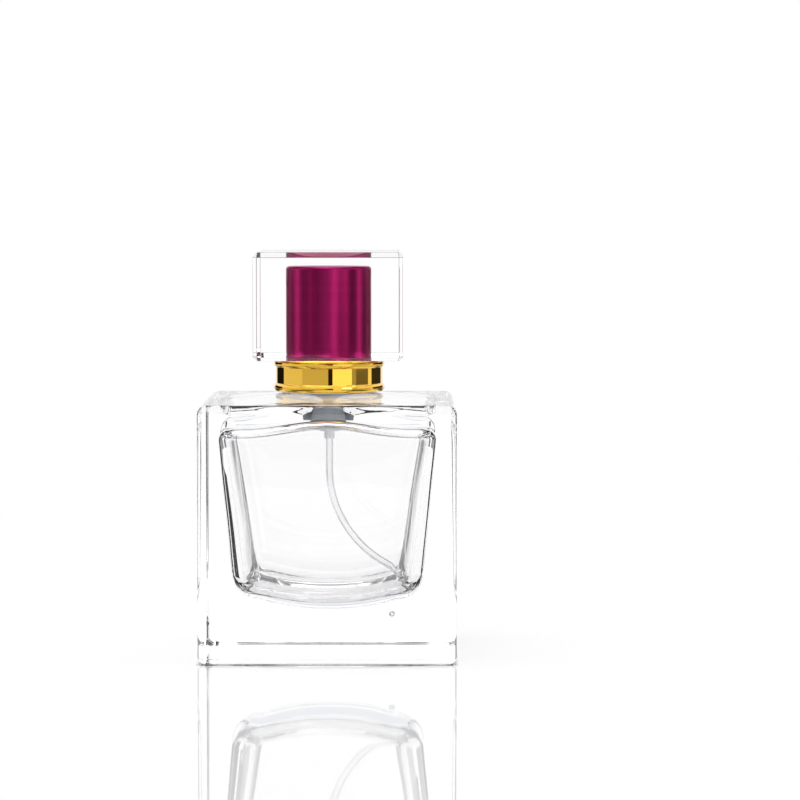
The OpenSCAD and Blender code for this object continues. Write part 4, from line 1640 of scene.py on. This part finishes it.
@dataclass
class Studio:
    """Floor, surroundings, panels, lamps and camera.

    Args:
        floor_r: Radius of the floor in metres.
        floor_drop: Distance of the floor under the base in metres.
        fade_start: Distance from the axis at which the floor starts to fade into white, in metres.
        fade_end: Distance from the axis at which it has gone.
        floor_low: Colour in the floor's darker clouds.
        floor_high: Colour in its lighter ones.
        contact_shadow_colour: Colour of a painted contact shadow, a thin dark line where the block's edges
            stand on the floor.
        contact_shadow_in: Distance of that line inside the block's sides in metres.
        contact_shadow_half: Half of its width in metres.
        contact_shadow_end: Distance from its middle at which it has faded, in metres.
        lens: Focal length in millimetres.
        camera_x: Sideways place of the camera in metres.
        camera_back: Distance of the camera in front of the axis in metres.
        camera_z: Height of the camera in metres.
        camera_tilt: Angle that the camera looks down, in degrees.
        ambient: Brightness of the surroundings for matt surfaces.
        glow: Brightness that the floor has of itself, as a lit sheet.
        lift: Extra brightness of the surroundings seen through glass, for what its surfaces turn back.
        cards: The panels.
        lamps: The lamps.
    """

    floor_r: float = 0.8
    floor_drop: float = 0.00008
    fade_start: float = 0.15
    fade_end: float = 0.75
    floor_low: Colour = (0.80, 0.80, 0.805)
    floor_high: Colour = (0.82, 0.82, 0.825)
    # A thin dark line on the floor under the block's edges: a painted contact shadow.
    contact_shadow_colour: Colour = (0.02, 0.02, 0.025)
    contact_shadow_in: float = 0.0009
    contact_shadow_half: float = 0.0004
    contact_shadow_end: float = 0.0014
    lens: float = 157.3
    camera_x: float = 0.01686
    camera_back: float = 0.8315
    camera_z: float = 0.1118
    camera_tilt: float = 3.6
    ambient: float = 0.66
    glow: float = 0.12
    lift: float = 0.07
    cards: tuple[Card, ...] = (
        Card("camera_flag", -1.0, 8.0, 0.02, Sight.MIRRORED, 0.0, 0.054),
        Card("face_flag", -7.0, 9.0, 0.02, Sight.MIRRORED, 0.054),
        Card("key", 9.0, 50.0, 1.3, Sight.MIRRORED, 0.0, 0.054),
        Card("right_edge", 50.0, 60.0, 0.4, Sight.MIRRORED),
        Card("right_low", 60.0, 92.0, 0.16, Sight.MIRRORED, 0.0, 0.049),
        Card("right_high", 60.0, 103.0, 0.75, Sight.MIRRORED, 0.049),
        Card("right_flag", 103.0, 146.0, 0.035, Sight.MIRRORED),
        Card("left_flag", -148.0, -112.0, 0.01, Sight.MIRRORED),
        Card("left_wall", -112.0, -58.0, 0.8, Sight.MIRRORED),
        Card("front_wall", -58.0, -1.0, 0.6, Sight.MIRRORED, 0.0, 0.054),
        Card("front_high", -58.0, -7.0, 0.6, Sight.MIRRORED, 0.054),
        Card("front_shade", -60.0, -25.0, 0.2, Sight.REFRACTED, 0.0, 0.2, 0.15),
        Card("front_glow", -25.0, 14.0, 0.38, Sight.REFRACTED, 0.0, 0.2, 0.15),
        Card("left_glow", -82.0, -60.0, 0.18, Sight.REFRACTED, 0.0, 0.2, 0.15),
        Card("left_low", -150.0, -94.0, 0.25, Sight.REFRACTED, 0.0, 0.055, 0.15),
        Card("left_high", -115.0, -100.0, 0.4, Sight.REFRACTED, 0.055, 0.2, 0.15),
        Card("left_dark", -150.0, -115.0, 0.03, Sight.REFRACTED, 0.055, 0.11, 0.15),
        Card("right_shade", 32.0, 54.0, 0.03, Sight.REFRACTED, 0.0, 0.2, 0.15),
        Card("right_glow", 54.0, 80.0, 0.08, Sight.REFRACTED, 0.0, 0.2, 0.15),
        Card("right_low_glow", 94.0, 150.0, 0.3, Sight.REFRACTED, 0.0, 0.055, 0.15),
        Card("right_high_glow", 100.0, 115.0, 0.1, Sight.REFRACTED, 0.055, 0.2, 0.15),
        Card("right_dark", 115.0, 150.0, 0.03, Sight.REFRACTED, 0.055, 0.11, 0.15),
        Card("streak_flag", -108.0, -75.0, 0.005, Sight.REFRACTED, 0.0, 0.034, 0.05),
        Card("lid", -140.0, 140.0, 0.3, Sight.REFRACTED, 0.2, 0.2, 0.28, 0.15),
        Card("back_lid", 140.0, 220.0, 0.75, Sight.REFRACTED, 0.2, 0.2, 0.28, 0.15),
    )
    lamps: tuple[Lamp, ...] = (
        Lamp("overhead", (-0.1, -0.1, 0.9), (0.0, 0.0, 0.03), 0.7, 2.4, False),
        Lamp("front_right", (0.45, -0.55, 0.35), (0.0, 0.0, 0.06), 0.25, 0.9, True),
    )

    def floor(self) -> Piece:
        """Builds the glossy pale floor, which fades into white, with a painted contact shadow under the
        block's edges.

        Returns:
            The floor.
        """
        shape = bmesh.new()
        bmesh.ops.create_circle(shape, cap_ends=True, segments=96, radius=self.floor_r)
        plate = make_object("floor", shape)
        plate.location.z = -self.floor_drop
        material, shader, output = open_material("pale_floor")
        tree = material.node_tree
        place = add_node(tree, "ShaderNodeTexCoord").outputs["Object"]
        cloud = add_node(tree, "ShaderNodeTexNoise", Vector=place, Scale=7.0, Detail=3.0).outputs[0]
        unshadowed_floor = self._unshadowed_floor_mask(tree, place)
        pale = vary_colour(tree, cloud, self.floor_low, self.floor_high)
        # The floor's colour and its own glow drop to the dark line colour under the block's edges: a
        # painted contact shadow.
        colour = vary_colour(tree, unshadowed_floor, self.contact_shadow_colour, pale)
        feed(tree, shader, IOR=1.9, Roughness=0.03, Base_Color=colour)
        path = add_node(tree, "ShaderNodeLightPath").outputs
        own = compute(tree, "MULTIPLY_ADD", path["Is Transmission Ray"], self.lift, self.glow)
        shine = compute(tree, "MULTIPLY", unshadowed_floor, own)
        feed(tree, shader, Emission_Color=WHITE, Emission_Strength=shine)
        away = add_node(tree, "ShaderNodeVectorMath", place, operation="LENGTH").outputs["Value"]
        span = (self.fade_start, self.fade_end, 0.0, 1.0)
        fade = add_node(tree, "ShaderNodeMapRange", away, *span, interpolation_type="SMOOTHSTEP")
        blend_shaders(output, fade.outputs[0], shader, add_node(tree, "ShaderNodeBsdfTransparent"))
        dress(plate, material)
        return plate

    def _unshadowed_floor_mask(self, tree: Tree, place: Socket) -> Socket:
        """Masks the floor outside a painted contact shadow, a thin dark line under the block's edges.

        Args:
            tree: The floor's material tree.
            place: The point on the floor.

        Returns:
            The mask, 0 in the painted shadow line and 1 elsewhere.
        """
        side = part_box("glass_bottle")[1].x
        size = add_node(tree, "ShaderNodeVectorMath", place, operation="ABSOLUTE")
        parts = add_node(tree, "ShaderNodeSeparateXYZ", size.outputs[0]).outputs
        farthest = compute(tree, "MAXIMUM", parts["X"], parts["Y"])
        away = compute(tree, "ABSOLUTE", compute(tree, "SUBTRACT", farthest, side - self.contact_shadow_in))
        line = add_node(tree, "ShaderNodeMapRange", away, self.contact_shadow_half, self.contact_shadow_end, 0.0, 1.0)
        return line.outputs[0]

    def surroundings(self) -> None:
        """Makes the white surroundings that the camera, mirrors and glass see."""
        world = bpy.data.worlds.new("white_studio")
        bpy.context.scene.world = world
        tree, output = open_tree(world, "ShaderNodeOutputWorld")
        path = add_node(tree, "ShaderNodeLightPath").outputs
        seen = compute(tree, "MAXIMUM", path["Is Camera Ray"], path["Is Glossy Ray"])
        sharp = compute(tree, "MAXIMUM", seen, path["Is Transmission Ray"])
        bright = compute(tree, "MULTIPLY_ADD", path["Is Transmission Ray"], self.lift, 1.0)
        soft = add_node(tree, "ShaderNodeBackground", WHITE, self.ambient)
        white = add_node(tree, "ShaderNodeBackground", WHITE, bright)
        blend_shaders(output, sharp, soft, white)

    def camera(self) -> None:
        """Adds the camera in front of the bottle, a little above it."""
        data = bpy.data.cameras.new("camera")
        data.lens = self.lens
        camera = link_object("camera", data)
        camera.location = (self.camera_x, -self.camera_back, self.camera_z)
        camera.rotation_euler = Euler((math.radians(90 - self.camera_tilt), 0.0, 0.0))
        bpy.context.scene.camera = camera

    def build(self) -> None:
        """Builds the whole set."""
        self.floor()
        self.surroundings()
        for fitting in (*self.cards, *self.lamps):
            fitting.build()
        self.camera()
        view = bpy.context.scene.view_settings
        view.view_transform = "Standard"


def main() -> None:
    """Builds the set, and then builds and dresses every sub-assembly."""
    logging.basicConfig(level=logging.INFO, format="%(message)s")
    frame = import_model()
    Studio().build()
    effects = Effects()

    flask = Flask()
    flask.dress(flask.build(), CLEAR_GLASS.make(effects), PAINTED_NECK_REFLECTION.make(effects))
    tube = DipTube()
    tube.dress(tube.build(), TUBE_PLASTIC.make(effects))
    joints = {joint["name"]: joint for joint in frame["record"]["behaviour"]["joints"]}
    steel = STEEL.make(effects)
    for spring in (
        PumpSpring("return_spring", "wound_return_spring", Body.BOTTLE, "pump_press", 0.4, 6, 0),
        PumpSpring("outlet_spring", "wound_outlet_spring", Body.STEM, "piston_slip", 0.25, 3.2, 1),
    ):
        spring.dress(spring.build(), steel, joints)
    collar = WideCollar()
    collar.dress(collar.build(), GOLD.make(effects))
    cap = BlockCap()
    cap.dress(cap.build_block(), cap.build_sleeve(), effects)
    PackedPieces(frame["nodes"]).dress(effects)


if __name__ == "__main__":
    main()
